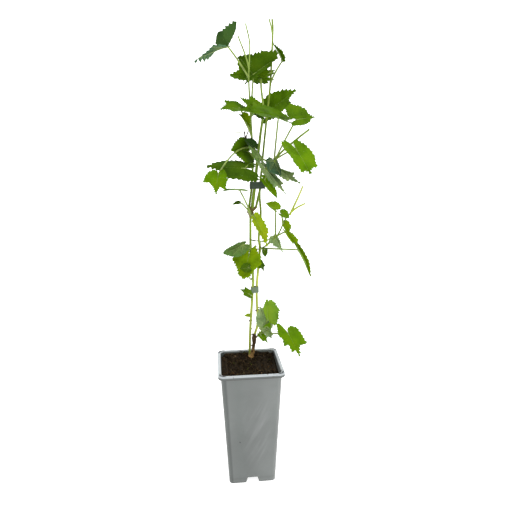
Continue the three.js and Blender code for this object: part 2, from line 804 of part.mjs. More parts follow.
// Stalk from inside the cane to a little way under the midrib.
function leafStalk(leaf, node, root) {
  const frame = bladeFrame(leaf).setPosition(root);
  const depth = BLADE.thickness / 2 / leaf.size;
  const rooted = bladePoint(leaf, BLADE.rooted, 0, depth).applyMatrix4(frame);
  const crown = node.clone().lerp(root, 0.5).add(new THREE.Vector3(0, 0, leaf.arch));
  const bend = new THREE.QuadraticBezierCurve3(node, crown, root);
  const points = [...bend.getPoints(leaf.reach > 40 ? 5 : 3), rooted];
  const last = points.length - 1;
  const radii = points.map((_, k) => THREE.MathUtils.lerp(BLADE.stalk, BLADE.stalkTip, k / last) / 2);
  return limb(points, radii, 3);
}

function leafRoot(leaf) {
  const turn = radians(leaf.turn);
  return onCane(leaf.on, leaf.node)
    .add(new THREE.Vector3(leaf.reach * Math.cos(turn), leaf.reach * Math.sin(turn), leaf.rise));
}

// Leaves of the seeded rule, on the far side of the mass's first stem.
function leavesBehind({ stems, behind }, seed) {
  const roll = dice(seed);
  const between = ([low, high]) => low + (high - low) * roll();
  return behind.map((node) => {
    const turn = between(BEHIND.turn);
    return {
      on: stems[0][0],
      node,
      turn,
      reach: between(BEHIND.reach),
      rise: between(BEHIND.rise),
      size: between(BEHIND.size),
      heading: turn + between(BEHIND.swing),
      dip: between(BEHIND.dip),
      roll: between(BEHIND.roll),
    };
  });
}

function foliage(mass, seed) {
  const bodies = mass.stems.map(([name, low, high]) => caneStretch(name, low, high));
  [...mass.leaves, ...leavesBehind(mass, seed)].forEach((entry) => {
    const leaf = { ...USUAL, ...entry };
    const root = leafRoot(leaf);
    bodies.push(leafStalk(leaf, onCane(leaf.on, leaf.node), root), blade(leaf, root));
  });
  return fused(bodies);
}

// ---------------------------------------------------------------- the plant
const colour = (hex, roughness) => new THREE.MeshStandardMaterial({ color: hex, roughness, metalness: 0 });
const plant = new THREE.Group();

function add(name, geometry, hex, roughness) {
  geometry.computeVertexNormals();
  const mesh = new THREE.Mesh(geometry, colour(hex, roughness));
  mesh.name = name;
  plant.add(mesh);
}

add("pot", potBody(), 0x848a88, 0.45);
add("soil", soilBody(), 0x2e2219, 0.95);
add("trunk", trunkBody(), 0x8a6a48, 0.85);
add("knot", knotBody(), 0x6f5a32, 0.85);
Object.entries(BOUGHS).forEach(([name, { cane, low, high }]) => {
  add(name, caneStretch(cane, low, high, 8), 0x7f9a45, 0.6);
});
Object.entries(TIES).forEach(([name, tie]) => add(name, tieBody(tie), 0x2f4038, 0.6));
Object.entries(MASSES).forEach(([name, mass], order) => {
  add(name, foliage(mass, 7 + order), 0x4f7f1e, 0.55);
});

export default plant;
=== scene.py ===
# Fine looks for a young grapevine in a tall square pot: leaves with teeth and veins,
# barked wood, tape ties, crumbly soil and a moulded pot, with a plain pale stage.
import math

import bmesh
import bpy
import numpy as np
from mathutils import Matrix, Vector

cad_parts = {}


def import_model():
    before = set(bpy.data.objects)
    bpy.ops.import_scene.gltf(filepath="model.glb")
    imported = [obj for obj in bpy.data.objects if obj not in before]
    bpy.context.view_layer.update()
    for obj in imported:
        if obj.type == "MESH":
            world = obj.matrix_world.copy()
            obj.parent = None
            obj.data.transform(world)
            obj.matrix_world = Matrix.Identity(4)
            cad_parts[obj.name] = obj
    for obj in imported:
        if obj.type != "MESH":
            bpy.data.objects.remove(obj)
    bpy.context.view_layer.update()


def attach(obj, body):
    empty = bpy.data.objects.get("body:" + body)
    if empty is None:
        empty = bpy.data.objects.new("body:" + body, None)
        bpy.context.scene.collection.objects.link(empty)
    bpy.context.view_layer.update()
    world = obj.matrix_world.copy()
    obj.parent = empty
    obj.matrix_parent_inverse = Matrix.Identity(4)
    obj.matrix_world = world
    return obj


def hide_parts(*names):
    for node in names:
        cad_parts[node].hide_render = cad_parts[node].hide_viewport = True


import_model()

bl_info = {
    "name": "Potted Grapevine",
    "version": (1, 0, 0),
    "blender": (4, 5, 0),
    "location": "View3D > Sidebar > Grapevine",
    "description": "Builds a young grapevine in a square pot piece by piece",
    "category": "Add Mesh",
}

MM = 0.001  # tables below are in millimetres, meshes in metres

# ---------------------------------------------------------------- the plant's own sizes

# Canes: points of the centre line, then the thickness at the foot and at the tip.
CANES = {
    "left": ([(3.8, 36, 238), (5, 32, 283), (10.5, 27, 368), (11, 24, 395), (7, 21, 448),
        (7, 19, 512)], 5.2, 4.6),
    "right": ([(14.4, 31, 275), (20, 30, 300), (18.5, 28, 368), (25, 25, 447), (23, 24, 470),
        (27, 22, 516), (25, 20, 555), (30, 22, 607), (40, 28, 692), (48, 36, 753),
        (53, 38, 839), (52, 38, 863)], 5, 3.2),
    "tall": ([(4.5, 19, 528), (10.6, 21.6, 571), (13, 25, 620), (10, 24, 697),
        (7, 20, 760), (9.5, 20, 814), (2.5, 18, 848)], 4.4, 2.2),
    "middle": ([(10, 14, 528), (15.5, 13.5, 571), (20, 12, 610), (26, 12, 658),
        (32, 14, 702), (30, 24, 740), (30, 30, 758)], 6.6, 3.4),
    "side": ([(17, 16, 528), (27.5, 12.5, 571), (39, 6, 598), (60, -4, 626),
        (88, -15, 650), (109, -22, 666)], 4.6, 3.4),
    "low": ([(16.8, 28.2, 268), (22.5, 22.5, 278), (31, 15, 288)], 3.2, 2.8),
    "shared": ([(8, 10.8, 512), (6.5, 10, 524)], 3, 2.4),
    "tendril": ([(78, -3, 515), (82, -4, 524), (92, -7, 546), (101, -10, 568)], 4.2, 3.4),
    "tendril_fork": ([(80, -3, 520), (90, -9, 529), (103, -20, 537)], 4, 3),
    "bare_stalk": ([(8, 20, 774), (2, 18, 794.5), (-11, 17, 827)], 3, 2.2),
    "sprig": ([(53, 38, 834), (50, 34, 848), (45, 28, 860)], 3, 2.4),
    "lateral": ([(25, 25, 448), (36, 14, 457), (56, -2, 479), (68, -4, 505), (78, -3, 517)], 3.2, 2.4),
    "stub": ([(12, 24.5, 636), (5, 21, 645), (-0.6, 18, 653), (-1.3, 18, 660),
        (-2.3, 18, 667)], 2.8, 2.2),
    "stub_fork": ([(-0.6, 18, 654), (3.2, 18, 663), (4.8, 18, 668)], 2.2, 1.6),
    "curl": ([(-2.3, 18, 664), (-15, 18, 665), (-32, 18, 665.5), (-34, 18, 660),
        (-29, 18, 655.5), (-15, 18, 656), (-7, 18, 654.5)], 1.3, 0.9),
}

# Half edges of a leaf: (angle from the tip, reach) seen from its stalk, at full size 1.
SHAPES = {
    "lobed": [(0, 1), (20, 0.66), (42, 0.78), (68, 0.55), (95, 0.54), (125, 0.42), (155, 0.5)],
    "plain": [(0, 1), (25, 0.86), (50, 0.8), (78, 0.68), (108, 0.56), (138, 0.42)],
    "young": [(0, 1), (18, 0.66), (40, 0.56), (70, 0.42), (105, 0.26)],
    "winged": [(0, 1), (30, 0.36), (52, 0.33), (74, 0.5), (92, 0.45), (112, 0.58), (128, 0.72)],
    "full": [(0, 1), (20, 0.95), (42, 0.78), (68, 0.84), (95, 0.66), (125, 0.42), (155, 0.5)],
    "star": [(0, 1), (20, 0.66), (40, 0.66), (50, 0.62), (64, 0.94), (84, 0.78), (100, 0.68),
        (125, 0.42), (150, 0.2)],
    "broad": [(0, 1), (16, 0.74), (36, 0.8), (60, 0.8), (90, 0.84), (116, 0.76), (140, 0.45)],
    "jagged": [(0, 1), (14, 0.64), (25, 0.8), (42, 0.5), (56, 0.72), (70, 0.52), (95, 0.55),
        (118, 0.54), (140, 0.56), (158, 0.55)],
    "notched": [(0, 1), (20, 0.64), (42, 0.88), (64, 0.62), (95, 0.5), (120, 0.38), (150, 0.2)],
    "toothy": [(0, 1), (11, 0.86), (27, 0.95), (36, 0.82), (48, 0.78), (68, 0.62), (95, 0.52),
        (125, 0.44), (152, 0.4)],
    "hand": [(0, 1), (12, 1.1), (22, 0.92), (34, 0.86), (48, 0.74), (68, 0.74), (92, 0.87),
        (108, 0.62), (128, 0.42), (155, 0.5)],
    "corner": [(0, 1), (20, 0.76), (42, 1), (60, 0.72), (68, 0.6), (95, 0.52), (125, 0.42), (155, 0.3)],
    "flared": [(0, 1), (20, 0.95), (42, 0.78), (66, 0.62), (83, 0.86), (97, 0.7), (114, 0.68),
        (125, 0.42), (155, 0.5)],
    "slim": [(0, 1), (20, 0.76), (42, 0.66), (68, 0.62), (95, 0.54), (125, 0.42), (155, 0.5)],
    "curled": [(0, 1), (20, 0.72), (38, 0.78), (56, 0.5), (72, 0.3), (92, 0.7), (112, 0.8),
        (128, 0.72), (150, 0.4)],
    "wavy": [(0, 1), (20, 0.86), (38, 0.8), (60, 0.5), (85, 0.4), (110, 0.22)],
    "skewed": [(0, 1), (10, 0.86), (23, 0.94), (33, 0.8), (46, 0.78), (68, 0.62), (95, 0.62),
        (125, 0.6), (152, 0.45)],
    "drooped": [(0, 1), (18, 0.68), (28, 0.7), (40, 1.02), (52, 0.84), (66, 0.84), (80, 0.62),
        (95, 0.5), (125, 0.4), (150, 0.2)],
    "wide": [(0, 1), (7, 0.9), (13, 1.04), (25, 1), (37, 0.88), (47, 0.87), (54, 0.68), (69, 0.6),
        (98, 0.47), (120, 0.44), (140, 0.22)],
    "narrow": [(0, 1), (20, 0.88), (44, 0.84), (52, 0.46), (80, 0.2), (120, 0.1)],
    "round": [(0, 1), (14, 0.97), (32, 0.92), (55, 0.82), (80, 0.68), (110, 0.5), (138, 0.35)],
}

# What a leaf has unless its entry says otherwise.
USUAL = {"shape": "lobed", "left": 0.9, "right": 0.9, "arch": 4, "fold": 10, "droop": 12, "twist": 0,
    "under": "under"}

# Masses of foliage. Leaves: the cane and height of the node, the way the stalk turns, how far
# it reaches and rises, the blade's size and the heading, dip and roll of its midrib, and the
# tints of its two faces, some of them painted light and painted shade. behind: heights of the
# leaves added at the back by the seeded rule.
MASSES = {
    "low_right_leaves": {
        "behind": [],
        "leaves": [
            dict(on="low", node=280, turn=-25, reach=57, rise=6, size=48, heading=-50, dip=-48,
                 roll=-10, arch=-2, shape="jagged", left_shape="notched", tint="fresh"),
            dict(on="low", node=288, turn=-52, reach=11, rise=25, size=42, heading=250, dip=75,
                 roll=170, fold=25, shape="wide", left_shape="narrow", left=0.35, right=1,
                 tint="glow", under="glow"),
            dict(on="low", node=288, turn=-60, reach=6, rise=10, size=40, heading=190, dip=74,
                 roll=-80, shape="plain", left=0.6, right=0.6, tint="under_pale", under="under_pale"),
            dict(on="low", node=278, turn=-60, reach=5, rise=-3, size=20, heading=-45, dip=-30,
                 roll=-40, left=0.7, right=0.5, tint="fresh"),
            dict(on="low", node=288, turn=-10, reach=8, rise=-3, size=16, heading=-60, dip=-50,
                 roll=170, tint="under_pale", under="under_pale"),
            dict(on="low", node=288, turn=-30, reach=4, rise=4, size=20, heading=-55, dip=50,
                 roll=-150, shape="young", tint="fresh"),
        ],
    },
    "low_left_leaves": {
        "behind": [],
        "leaves": [
            dict(on="left", node=316, turn=225, reach=4, rise=-1, size=12, heading=195, dip=5,
                 roll=40, shape="young", tint="yellow", under="yellow"),
            dict(on="left", node=345, turn=240, reach=14, rise=17, size=21, heading=205, dip=35,
                 roll=60, shape="lobed", left=0.8, right=0.8, tint="mid"),
        ],
    },
    "mid_left_leaves": {
        "behind": [440],
        "leaves": [
            dict(on="left", node=455, turn=215, reach=19, rise=4, size=42, heading=200, dip=-22,
                 roll=225, droop=20, shape="round", left=0.38, right=0.55, tint="under"),
            dict(on="left", node=440, turn=240, reach=9, rise=-1, size=45, heading=235, dip=-60,
                 roll=15, shape="full", left=0.8, right=0.78, tint="bright", under="glow"),
            dict(on="left", node=412, turn=250, reach=27, rise=6, size=16, heading=195, dip=0,
                 roll=60, shape="plain", tint="shade", under="shade"),
            dict(on="left", node=386, turn=210, reach=7, rise=4, size=12, heading=200, dip=60,
                 roll=20, shape="young", tint="yellow", under="glow"),
            dict(on="left", node=402, turn=215, reach=6, rise=4, size=13, heading=160, dip=35,
                 roll=60, shape="young", tint="yellow", under="yellow"),
        ],
    },
    "mid_right_leaves": {
        "behind": [458],
        "leaves": [
            dict(on="right", node=427, turn=-80, reach=4, rise=-3, size=20, heading=-50, dip=-50,
                 roll=-20, left=0.55, tint="mid"),
            dict(on="right", node=449, turn=-55, reach=14, rise=0, size=14, heading=-90, dip=-62,
                 roll=0, shape="plain", left=0.6, right=0.6, tint="shade"),
            dict(on="right", node=450, turn=-31, reach=77, rise=2, size=54, heading=-35, dip=-58,
                 roll=-35, arch=0, fold=70, shape="plain", left=0.3, right=0.3, tint="bright",
                 under="glow"),
            dict(on="lateral", node=470, turn=-28, reach=24, rise=15, size=40, heading=-35, dip=-48,
                 roll=-35, fold=45, shape="notched", left_shape="curled", left=0.5, right=0.5,
                 tint="bright", under="under_pale"),
            dict(on="lateral", node=474, turn=85, reach=8, rise=51, size=22, heading=200, dip=32,
                 roll=100, fold=20, shape="plain", left=0.2, right=1, tint="bright", under="glow"),
            dict(on="lateral", node=500, turn=190, reach=4, rise=18, size=18, heading=-40, dip=-23,
                 roll=-60, shape="plain", right=0.35, tint="fresh"),
            dict(on="lateral", node=462, turn=-40, reach=11, rise=15, size=36, heading=-40, dip=-55,
                 roll=120, twist=-60, shape="young", right=0.35, tint="glow", under="under_pale"),
        ],
    },
    "knot_leaves": {
        "behind": [],
        "leaves": [
            dict(on="shared", node=518, turn=215, reach=26, rise=44, size=34, heading=205, dip=6,
                 roll=0, fold=5, tint="mid"),
            dict(on="shared", node=516, turn=205, reach=21, rise=23, size=18, heading=208, dip=-5,
                 roll=30, shape="young", left=0.5, tint="shade"),
            dict(on="shared", node=514, turn=-50, reach=8, rise=0, size=62, heading=-40, dip=-57,
                 roll=-100, fold=0, droop=-10, shape="young", left_shape="wavy", left=0.55, right=0.4,
                 tint="yellow", under="glow"),
        ],
    },
    "left_leaves": {
        "behind": [606],
        "leaves": [
            dict(on="tall", node=612, turn=246, reach=41, rise=-12, size=66, heading=189, dip=5,
                 roll=47, fold=-12, droop=10, shape="plain", left_shape="broad", left=0.5, right=0.5,
                 tint="shade"),
            dict(on="tall", node=638, turn=223, reach=88, rise=-48, size=34, heading=236, dip=-69,
                 roll=0, arch=30, fold=5, shape="star", left_shape="drooped", tint="fresh",
                 under="glow"),
            dict(on="tall", node=622, turn=199, reach=9, rise=9, size=42, heading=228, dip=4, roll=75,
                 shape="plain", tint="mid"),
            dict(on="tall", node=640, turn=291, reach=10, rise=-3, size=25, heading=210, dip=37,
                 roll=60, shape="plain", tint="dark", under="under_dark"),
        ],
    },
    "side_leaves": {
        "behind": [],
        "leaves": [
            dict(on="side", node=614, turn=-42, reach=45, rise=18, size=50, heading=-40, dip=-51,
                 roll=-20, shape="skewed", left_shape="toothy", left=0.85, right=1, tint="fresh"),
            dict(on="side", node=618, turn=-30, reach=38, rise=64, size=39, heading=20, dip=12,
                 roll=-60, shape="broad", left=0.9, right=0.45, tint="mid"),
            dict(on="side", node=614, turn=-60, reach=12, rise=73, size=70, heading=199, dip=13,
                 roll=30, droop=15, left=0.8, right=0.8, tint="mid"),
            dict(on="side", node=604, turn=220, reach=15, rise=-25, size=38, heading=-30, dip=-48,
                 roll=-35, arch=0, shape="plain", left=0.32, right=0.35, tint="fresh"),
            dict(on="side", node=602, turn=235, reach=15, rise=-2, size=60, heading=-37, dip=-48,
                 roll=125, fold=55, left=0.36, right=0.65, tint="under_pale", under="under_pale"),
            dict(on="side", node=606, turn=184, reach=19, rise=12, size=31, heading=200, dip=42,
                 roll=-120, shape="young", tint="under"),
            dict(on="side", node=612, turn=-80, reach=8, rise=0, size=36, heading=-75, dip=-51,
                 roll=180, shape="plain", left=0.7, right=0.35, tint="under_dark", under="under_dark"),
            dict(on="side", node=604, turn=-40, reach=14, rise=-2, size=52, heading=-25, dip=-40,
                 roll=150, fold=30, twist=-90, left=0.3, right=0.45, tint="fresh", under="under_pale"),
        ],
    },
    "upper_left_leaves": {
        "behind": [],
        "leaves": [
            dict(on="tall", node=664, turn=227, reach=33, rise=40, size=37, heading=212, dip=3,
                 roll=38, droop=25, tint="mid", under="mid"),
            dict(on="tall", node=659, turn=229, reach=31, rise=34, size=29, heading=-30, dip=-47,
                 roll=-30, fold=30, shape="young", left=0.9, right=1, tint="bright", under="bright"),
        ],
    },
    "upper_right_leaves": {
        "behind": [706],
        "leaves": [
            dict(on="right", node=700, turn=60, reach=18, rise=8, size=56, heading=-20, dip=40,
                 roll=-60, left_shape="slim", tint="mid"),
        ],
    },
    "centre_leaves": {
        "behind": [],
        "leaves": [
            dict(on="middle", node=755, turn=86, reach=24, rise=15, size=56, heading=174, dip=6,
                 roll=75, fold=12, shape="corner", left_shape="flared", left=0.4, right=0.6,
                 tint="mid"),
            dict(on="middle", node=690, turn=210, reach=9, rise=10, size=39, heading=198, dip=34,
                 roll=60, tint="mid"),
        ],
    },
    "top_left_leaves": {
        "behind": [],
        "leaves": [
            dict(on="tall", node=760, turn=201, reach=39, rise=46, size=62, heading=188, dip=-19,
                 roll=48, fold=32, twist=-200, shape="winged", left_shape="young", left=0.35, right=1,
                 tint="dark", under="under_dark"),
            dict(on="tall", node=692, turn=37, reach=7.6, rise=75, size=52, heading=-5, dip=37,
                 roll=-55, fold=25, left_shape="hand", right=0.72, tint="shade"),
        ],
    },
    "top_right_leaves": {
        "behind": [],
        "leaves": [
            dict(on="right", node=755, turn=-50, reach=28, rise=31, size=34, heading=205, dip=60,
                 roll=95, fold=70, shape="young", left=0.75, right=0.75, tint="mid"),
            dict(on="right", node=770, turn=190, reach=3, rise=1, size=27, heading=188, dip=-20,
                 roll=70, left=0.4, right=0.4, tint="mid"),
        ],
    },
}

# Leaves at the back: limits between which the seeded rule chooses, and its first seed.
BEHIND = {"turn": (70, 120), "reach": (14, 24), "rise": (0, 8), "size": (36, 48), "swing": (-30, 30),
    "dip": (-10, 15), "roll": (-15, 15)}
BEHIND_SEED = 7

POT = {"height": 230, "rim": 124, "body_top": 114, "base": 90, "lip_drop": 7, "wall": 1.6,
       "floor": 14.5, "base_thickness": 2.5, "foot_wall": 2.4, "top_corner": 10, "base_corner": 8,
       "lip_round": 2.2, "edge_round": 1.1}
DRAIN = {"width": 26, "top_width": 19, "height": 11, "inward": 9, "past_wall": 2, "past_foot": 1}
FACING = 0.9  # least share of a face's normal that points up or down
LEVEL_WITHIN = 1e-5  # metres
POT_ROUNDING = {"corner": 7, "lip": 5, "edge": 3}  # pieces of each rounding
SOIL = {"level": 214, "back_rise": 9, "heap": 7, "heap_spread": 24, "lumps": 2, "rings": 64,
        "gap": 0.3, "corner_steps": 48, "middle": 0.01, "lump_waves": (0.23, 0.19, 0.37), "grain_seed": 21,
        "crumb_seed": 9, "grain": ((9, 1.5), (4.5, 1.1), (2.2, 0.7), (1.2, 0.45))}
CRUMBS = {"count": 2600, "edge": 1.5, "small_share": 0.8, "small": (0.5, 1.3), "large": (1.4, 2.6),
          "uneven": (0.6, 1.2), "kinds": {"crumb": 0.5, "crumb_pale": 0.24, "crumb_red": 0.2, "chip": 0.06}}
FIBRES = {"count": 46, "edge": 5, "length": (4, 10), "bend": (-2, 2), "points": 6, "lift": 1.6,
          "lift_vary": (-0.2, 1.0), "moss_share": 0.3, "radius": {"fibre": 0.28, "moss": 0.45}, "sides": 4}
# Trunk and its cut spur: steps of their lines from the foot, and radii along them.
TRUNK = {"foot": (6.5, 37, 224),
         "route": ((0, 0, 0), (0.5, 0, 2.5), (2.5, 0, 7), (4, -2, 14), (6, -4, 31), (6, -5, 41), (7, -6, 50)),
         "radii": (6.5, 5.2, 4.42, 3.4, 3.4, 4.8, 3.36)}
TRUNK_NECK = 3  # first point of the trunk's line that carries buds and scars
SPUR = {"route": ((-2, 0, 3), (-2.3, -0.5, 8), (-2.7, -1, 13.5)), "radii": (3.4, 2.8, 2.4)}
KNOT = {"centre": (7.5, 17.5, 520), "half": 6.2, "levels": (-1, -0.6, 0, 0.6, 1),
        "radii": (3.7, 5.13, 5.4, 5.13, 3.7), "arm": 2.8, "arm_past_cane": 0.3, "arm_end": 0.95,
        "arms": (("tall", 530), ("middle", 530), ("side", 530), ("left", 510))}
# Grain of the wood: sides, points between two given ones, depth in millimetres and seed.
GRAIN = {"trunk": (48, 8, 0.7, 3), "spur": (32, 8, 0.3, 5), "knot": (40, 8, 0.5, 11),
         "arm": (28, 8, 0.25, 13)}
BARK = {"drawn": (1, 1, 0.22), "furrows": ((1.9, 0.7), (0.9, 0.3))}
TIES = {
    "upper": {"centre": (20.3, 17, 570), "half": (14.3, 9.2), "height": 16, "corner": 3.5, "tilt": 0},
    "lower": {"centre": (14.4, 27.8, 367.5), "half": (8, 4.6), "height": 15, "corner": 3, "tilt": 6},
}
TAPE = {"thickness": 0.9, "turns": 3, "width": (0.42, 0.5), "inset": 0.12, "wobble": 0.35,
        "wobble_step": 0.7, "roughness": 0.5}
# Buds, scars and dried scales: how many, how far out and how thick, and their form.
KNOBS = {"trunk": {"count": 16, "reach": (4, 6.5), "radius": (1.2, 2.2), "seed": 21},
         "cane": {"count": 7, "reach": (2.5, 5.5), "radius": (0.8, 1.5), "seed": 31},
         "knot": {"count": 26, "reach": (5, 9.5), "radius": (1.5, 2.7), "seed": 22}}
KNOB = {"tilt": (-0.2, 0.5), "route": (0.4, 0.75, 1.0), "taper": (1, 0.9, 0.35), "grain": (14, 4, 0.3)}
# Stretches of the canes with dried bud scales: cane, lowest and highest.
DRIED = (("left", 284, 304), ("right", 322, 330), ("right", 440, 456))
DRIED_POINTS = 4
WOOD_TINTS = {
    "trunk": ((0.46, 0.27, 0.1), (0.085, 0.05, 0.022), (236, 250), (0.03, 0.018, 0.01)),
    "spur": ((0.4, 0.3, 0.1), (0.3, 0.36, 0.06), (226, 236), (0.08, 0.05, 0.02)),
    "knot": ((0.24, 0.2, 0.05), (0.17, 0.13, 0.045), (505, 530), (0.06, 0.035, 0.015)),
}

# Stems of the leaves added at the back, and the joined piece each mass's leaves go into.
BACK_STEM = {"mid_left_leaves": "left", "mid_right_leaves": "right", "left_leaves": "tall",
             "upper_right_leaves": "right"}
GROUP_OF = {
    "low_right_leaves": "low", "low_left_leaves": "low", "mid_left_leaves": "mid",
    "mid_right_leaves": "mid", "knot_leaves": "middle", "left_leaves": "middle",
    "side_leaves": "side", "upper_left_leaves": "upper", "upper_right_leaves": "upper",
    "centre_leaves": "upper", "top_left_leaves": "top", "top_right_leaves": "top",
}

VEIN_TINT = (0.42, 0.52, 0.16)
VEIN_SHARE = 0.45  # how much of the vein's own tint shows
BACK_DULLER = 0.2  # how much rougher the back of a leaf is than its face
STALK_TINT = (0.27, 0.38, 0.06)
STALK_DULL = 0.62

# Kinds of cane: colour at the foot, colour above, the heights between, and the brown of specks.
CANE_KIND = {"left": "old", "right": "yellowed", "stub": "dried", "stub_fork": "dried", "curl": "pale",
             "tendril": "yellow_shoot", "tendril_fork": "yellow_shoot"}
CANE_TINTS = {
    "old": ((0.46, 0.54, 0.1), (0.25, 0.38, 0.04), (340, 420), (0.12, 0.08, 0.03)),
    "yellowed": ((0.58, 0.64, 0.1), (0.24, 0.34, 0.04), (390, 480), (0.2, 0.12, 0.04)),
    "dried": ((0.13, 0.09, 0.04), (0.09, 0.06, 0.03), (240, 660), (0.03, 0.02, 0.01)),
    "yellow_shoot": ((0.5, 0.62, 0.06), (0.66, 0.7, 0.22), (515, 560), (0.3, 0.25, 0.1)),
    "pale": ((0.6, 0.62, 0.45), (0.6, 0.62, 0.45), (640, 660), (0.3, 0.25, 0.1)),
    "fresh": ((0.2, 0.3, 0.03), (0.3, 0.42, 0.09), (560, 800), (0.16, 0.12, 0.04)),
}
# Pot tints: the pale lip tint is a painted highlight on the top of the lip, the skirt tint painted shade
# below it; the dirt tint also makes the dark line at the lip's lower edge, partly painted shadow.
POT_TINTS = {"wall": (0.178, 0.193, 0.186), "rubbed": (0.245, 0.26, 0.255), "speck": (0.04, 0.04, 0.036),
             "lip": (0.5, 0.54, 0.56), "skirt": (0.11, 0.125, 0.12), "dirt": (0.07, 0.06, 0.045)}
RUBBED_BELT = (25, 190)  # heights between which the wall is rubbed, in millimetres
TAPE_TINTS = {"upper": (0.03, 0.055, 0.03), "lower": (0.16, 0.22, 0.13)}
SOIL_TINTS = {
    "ground": (0.022, 0.014, 0.006), "crumb": (0.03, 0.018, 0.007), "crumb_pale": (0.06, 0.04, 0.02),
    "crumb_red": (0.05, 0.024, 0.008), "chip": (0.14, 0.09, 0.045), "fibre": (0.12, 0.09, 0.04),
    "moss": (0.08, 0.1, 0.012),
}
# Lamps: name, place, power in watts, width.
LAMPS = (("key_light", (0.9, -1.1, 2.0), 16, 1.0), ("top_light", (-0.3, -0.2, 2.4), 16, 1.4))
LAMP_AIM = (0, 0, 0.45)
STAGE = {"grey": (0.85, 0.85, 0.85), "roughness": 0.9, "floor_glow": 0.8, "backdrop_glow": 1.0, "world": 0.5}
BOUGH_NODES = ["left_cane_lower", "left_cane_upper", "right_cane_lower", "right_cane_upper",
               "tall_cane", "middle_cane", "side_cane"]
CAMERA = {"place": (-0.059, -0.758, 0.578), "yaw_pitch_roll": (5.44, 10.16, -0.58), "lens": 29.153,
          "sensor": 36, "nearest": 0.01}

STALK = {"thick": 3.2, "thin": 2.8, "rooted": 0.12, "steps": 12, "foot": 4, "foot_swell": 0.5,
         "end": 0.5, "sides": 8}
CANE_NODE = {"swell": 0.16, "length": 3.0}
CANE_SIDES = 12
SPAN_STEPS = 10  # points of a cane's line between two given points

# Tints of leaf faces, linear red, green and blue. The greens from dark to bright are lit and shaded
# copies of one leaf green: painted shade on leaves lying in shadow, painted light on sunlit ones.
LEAF_TINTS_AND_PAINTED_LIGHT = {
    "dark": (0.042, 0.1, 0.02),
    "shade": (0.05, 0.112, 0.002),
    "mid": (0.078, 0.17, 0.002),
    "fresh": (0.115, 0.245, 0.002),
    "bright": (0.18, 0.31, 0.003),
    "yellow": (0.27, 0.4, 0.008),
    # Painted light: the glow of light shining through a leaf from behind.
    "glow": (0.16, 0.31, 0.02),
    "under": (0.1, 0.2, 0.045),
    "under_pale": (0.24, 0.36, 0.15),
    "under_dark": (0.07, 0.15, 0.075),
}

BLACK = (0, 0, 0)
WHITE = (1, 1, 1)
# Skins. A pattern is given by its fineness and detail, then the places where its tones meet.
LEAF_SKIN = {"ior": 1.1, "patches": (38, 5), "mottling": (420, 2), "mottling_share": 0.25,
             "stops": (0.44, 0.6, 0.76), "dark": 0.7, "warm": (1.25, 1.1, 1), "gloss": (-0.06, 0.1),
             "bump": (0.12, 0.0005)}
STALK_SKIN = {"roughness": 0.45, "streaks": (120, 3), "drawn": (1, 1, 3), "stops": (0.35, 0.6)}
CANE_SKIN = {"roughness": 0.5, "ior": 1.2, "streaks": (300, 3), "drawn": (1, 1, 8), "stops": (0.35, 0.6),
             "dull": (0.55, 0.55, 0.55), "streak_share": 0.6, "specks": (95, 2), "speck_stops": (0.66, 0.72)}
SOIL_SKIN = {"roughness": 0.95, "specular": 0.15, "grains": (260, 5), "stops": (0.36, 0.52, 0.68),
             "dark": 0.3, "pale": 1.9}
WALL_SKIN = {"clouds": (14, 4), "cloud_stops": (0.3, 0.5, 0.7), "dark": 0.88, "pale": 1.12,
             "streaks": (110, 4), "drawn": (1, 1, 11), "slant": (0, math.radians(27), 0),
             "streak_stops": (0.46, 0.72), "specks": (150, 0), "speck_stops": (0.85, 0.87),
             "bump": (0.08, 0.002)}
# Lip dirt patches; edge darkens the lip's lower edge into a line of painted shadow.
LIP_SKIN = {"dirt": (60, 4), "dirt_stops": (0.3, 0.38), "edge": 0.7}
# Greys along the pot's wall: how strongly it is rubbed across and up, then painted shade on its left side,
# painted light on its right side and towards its top, with a darker band near the foot.
RUBBED_ACROSS = ((0.3, 0), (0.5, 0.75), (0.72, 0.75), (0.86, 0))
RUBBED_UP = ((0.0, 0), (0.25, 1), (0.8, 1), (1.0, 0))
# Painted shade darkening the wall's left side and painted light brightening its right side.
PAINTED_SIDE_LIGHT = ((0.0, (0.5, 0.53, 0.52)), (0.07, (0.46, 0.49, 0.48)), (0.1, (0.88, 0.88, 0.88)),
               (0.25, (0.82, 0.84, 0.83)), (0.5, (0.88, 0.88, 0.88)), (0.75, (0.96, 0.96, 0.96)),
               (0.94, WHITE))
# Painted light: the wall grows lighter towards its top; a darker band lies near the foot.
PAINTED_LIGHT_UP = ((0.02, 0.9), (0.045, 0.78), (0.055, 0.88), (0.45, 0.9), (0.95, 1))

# Largest angle between two faces that still look smooth.
SMOOTH = {"plant": math.radians(50), "soil": math.radians(30), "pot": math.radians(40)}

# Teeth and fine relief of a blade, as shares of its size unless said otherwise.
BLADE = {
    "thickness_mm": 0.4,
    "tooth_spacing": 0.13,
    "tooth_depth": 0.08,
    "tooth_least": 0.25,  # share of a tooth's depth left on a half without width
    "tooth_vary": (0.5, 1.4),
    "edge_swell": 0.02,
    "notch_swell": 0.14,
    "notch_steps": (0.25, 0.5, 0.72, 0.9),
    "lobe_tip": 0.035,  # how far the tip of a lobe stands out past its teeth
    "rows": 9,
    "puff": 0.02,  # how far the skin rises between veins
    "puff_reach": 0.045,  # how far from a vein the skin is fully risen
    "puff_round": 0.7,
    "wave": 0.035,  # slow waves towards the edge
    "flat": 0.01,  # droop in radians below which a blade counts as straight
}
TOOTH = ((0.3, 0.6), (0.62, 0.15), (1.0, -0.4))  # points of a tooth: share of its length, height
EDGE_WAVES = ((3, 1, 2), (5, 0.5, 3))  # waves round a blade: how many, height, how fast they grow
RIPPLES = (9, 0.3)  # waves along the midrib: radians in a blade's length, height
ANCHOR_ANGLES = (0, 21, 56, 80)
ANCHOR_PLACES = (0.97, 0.66, 0.33, 0)

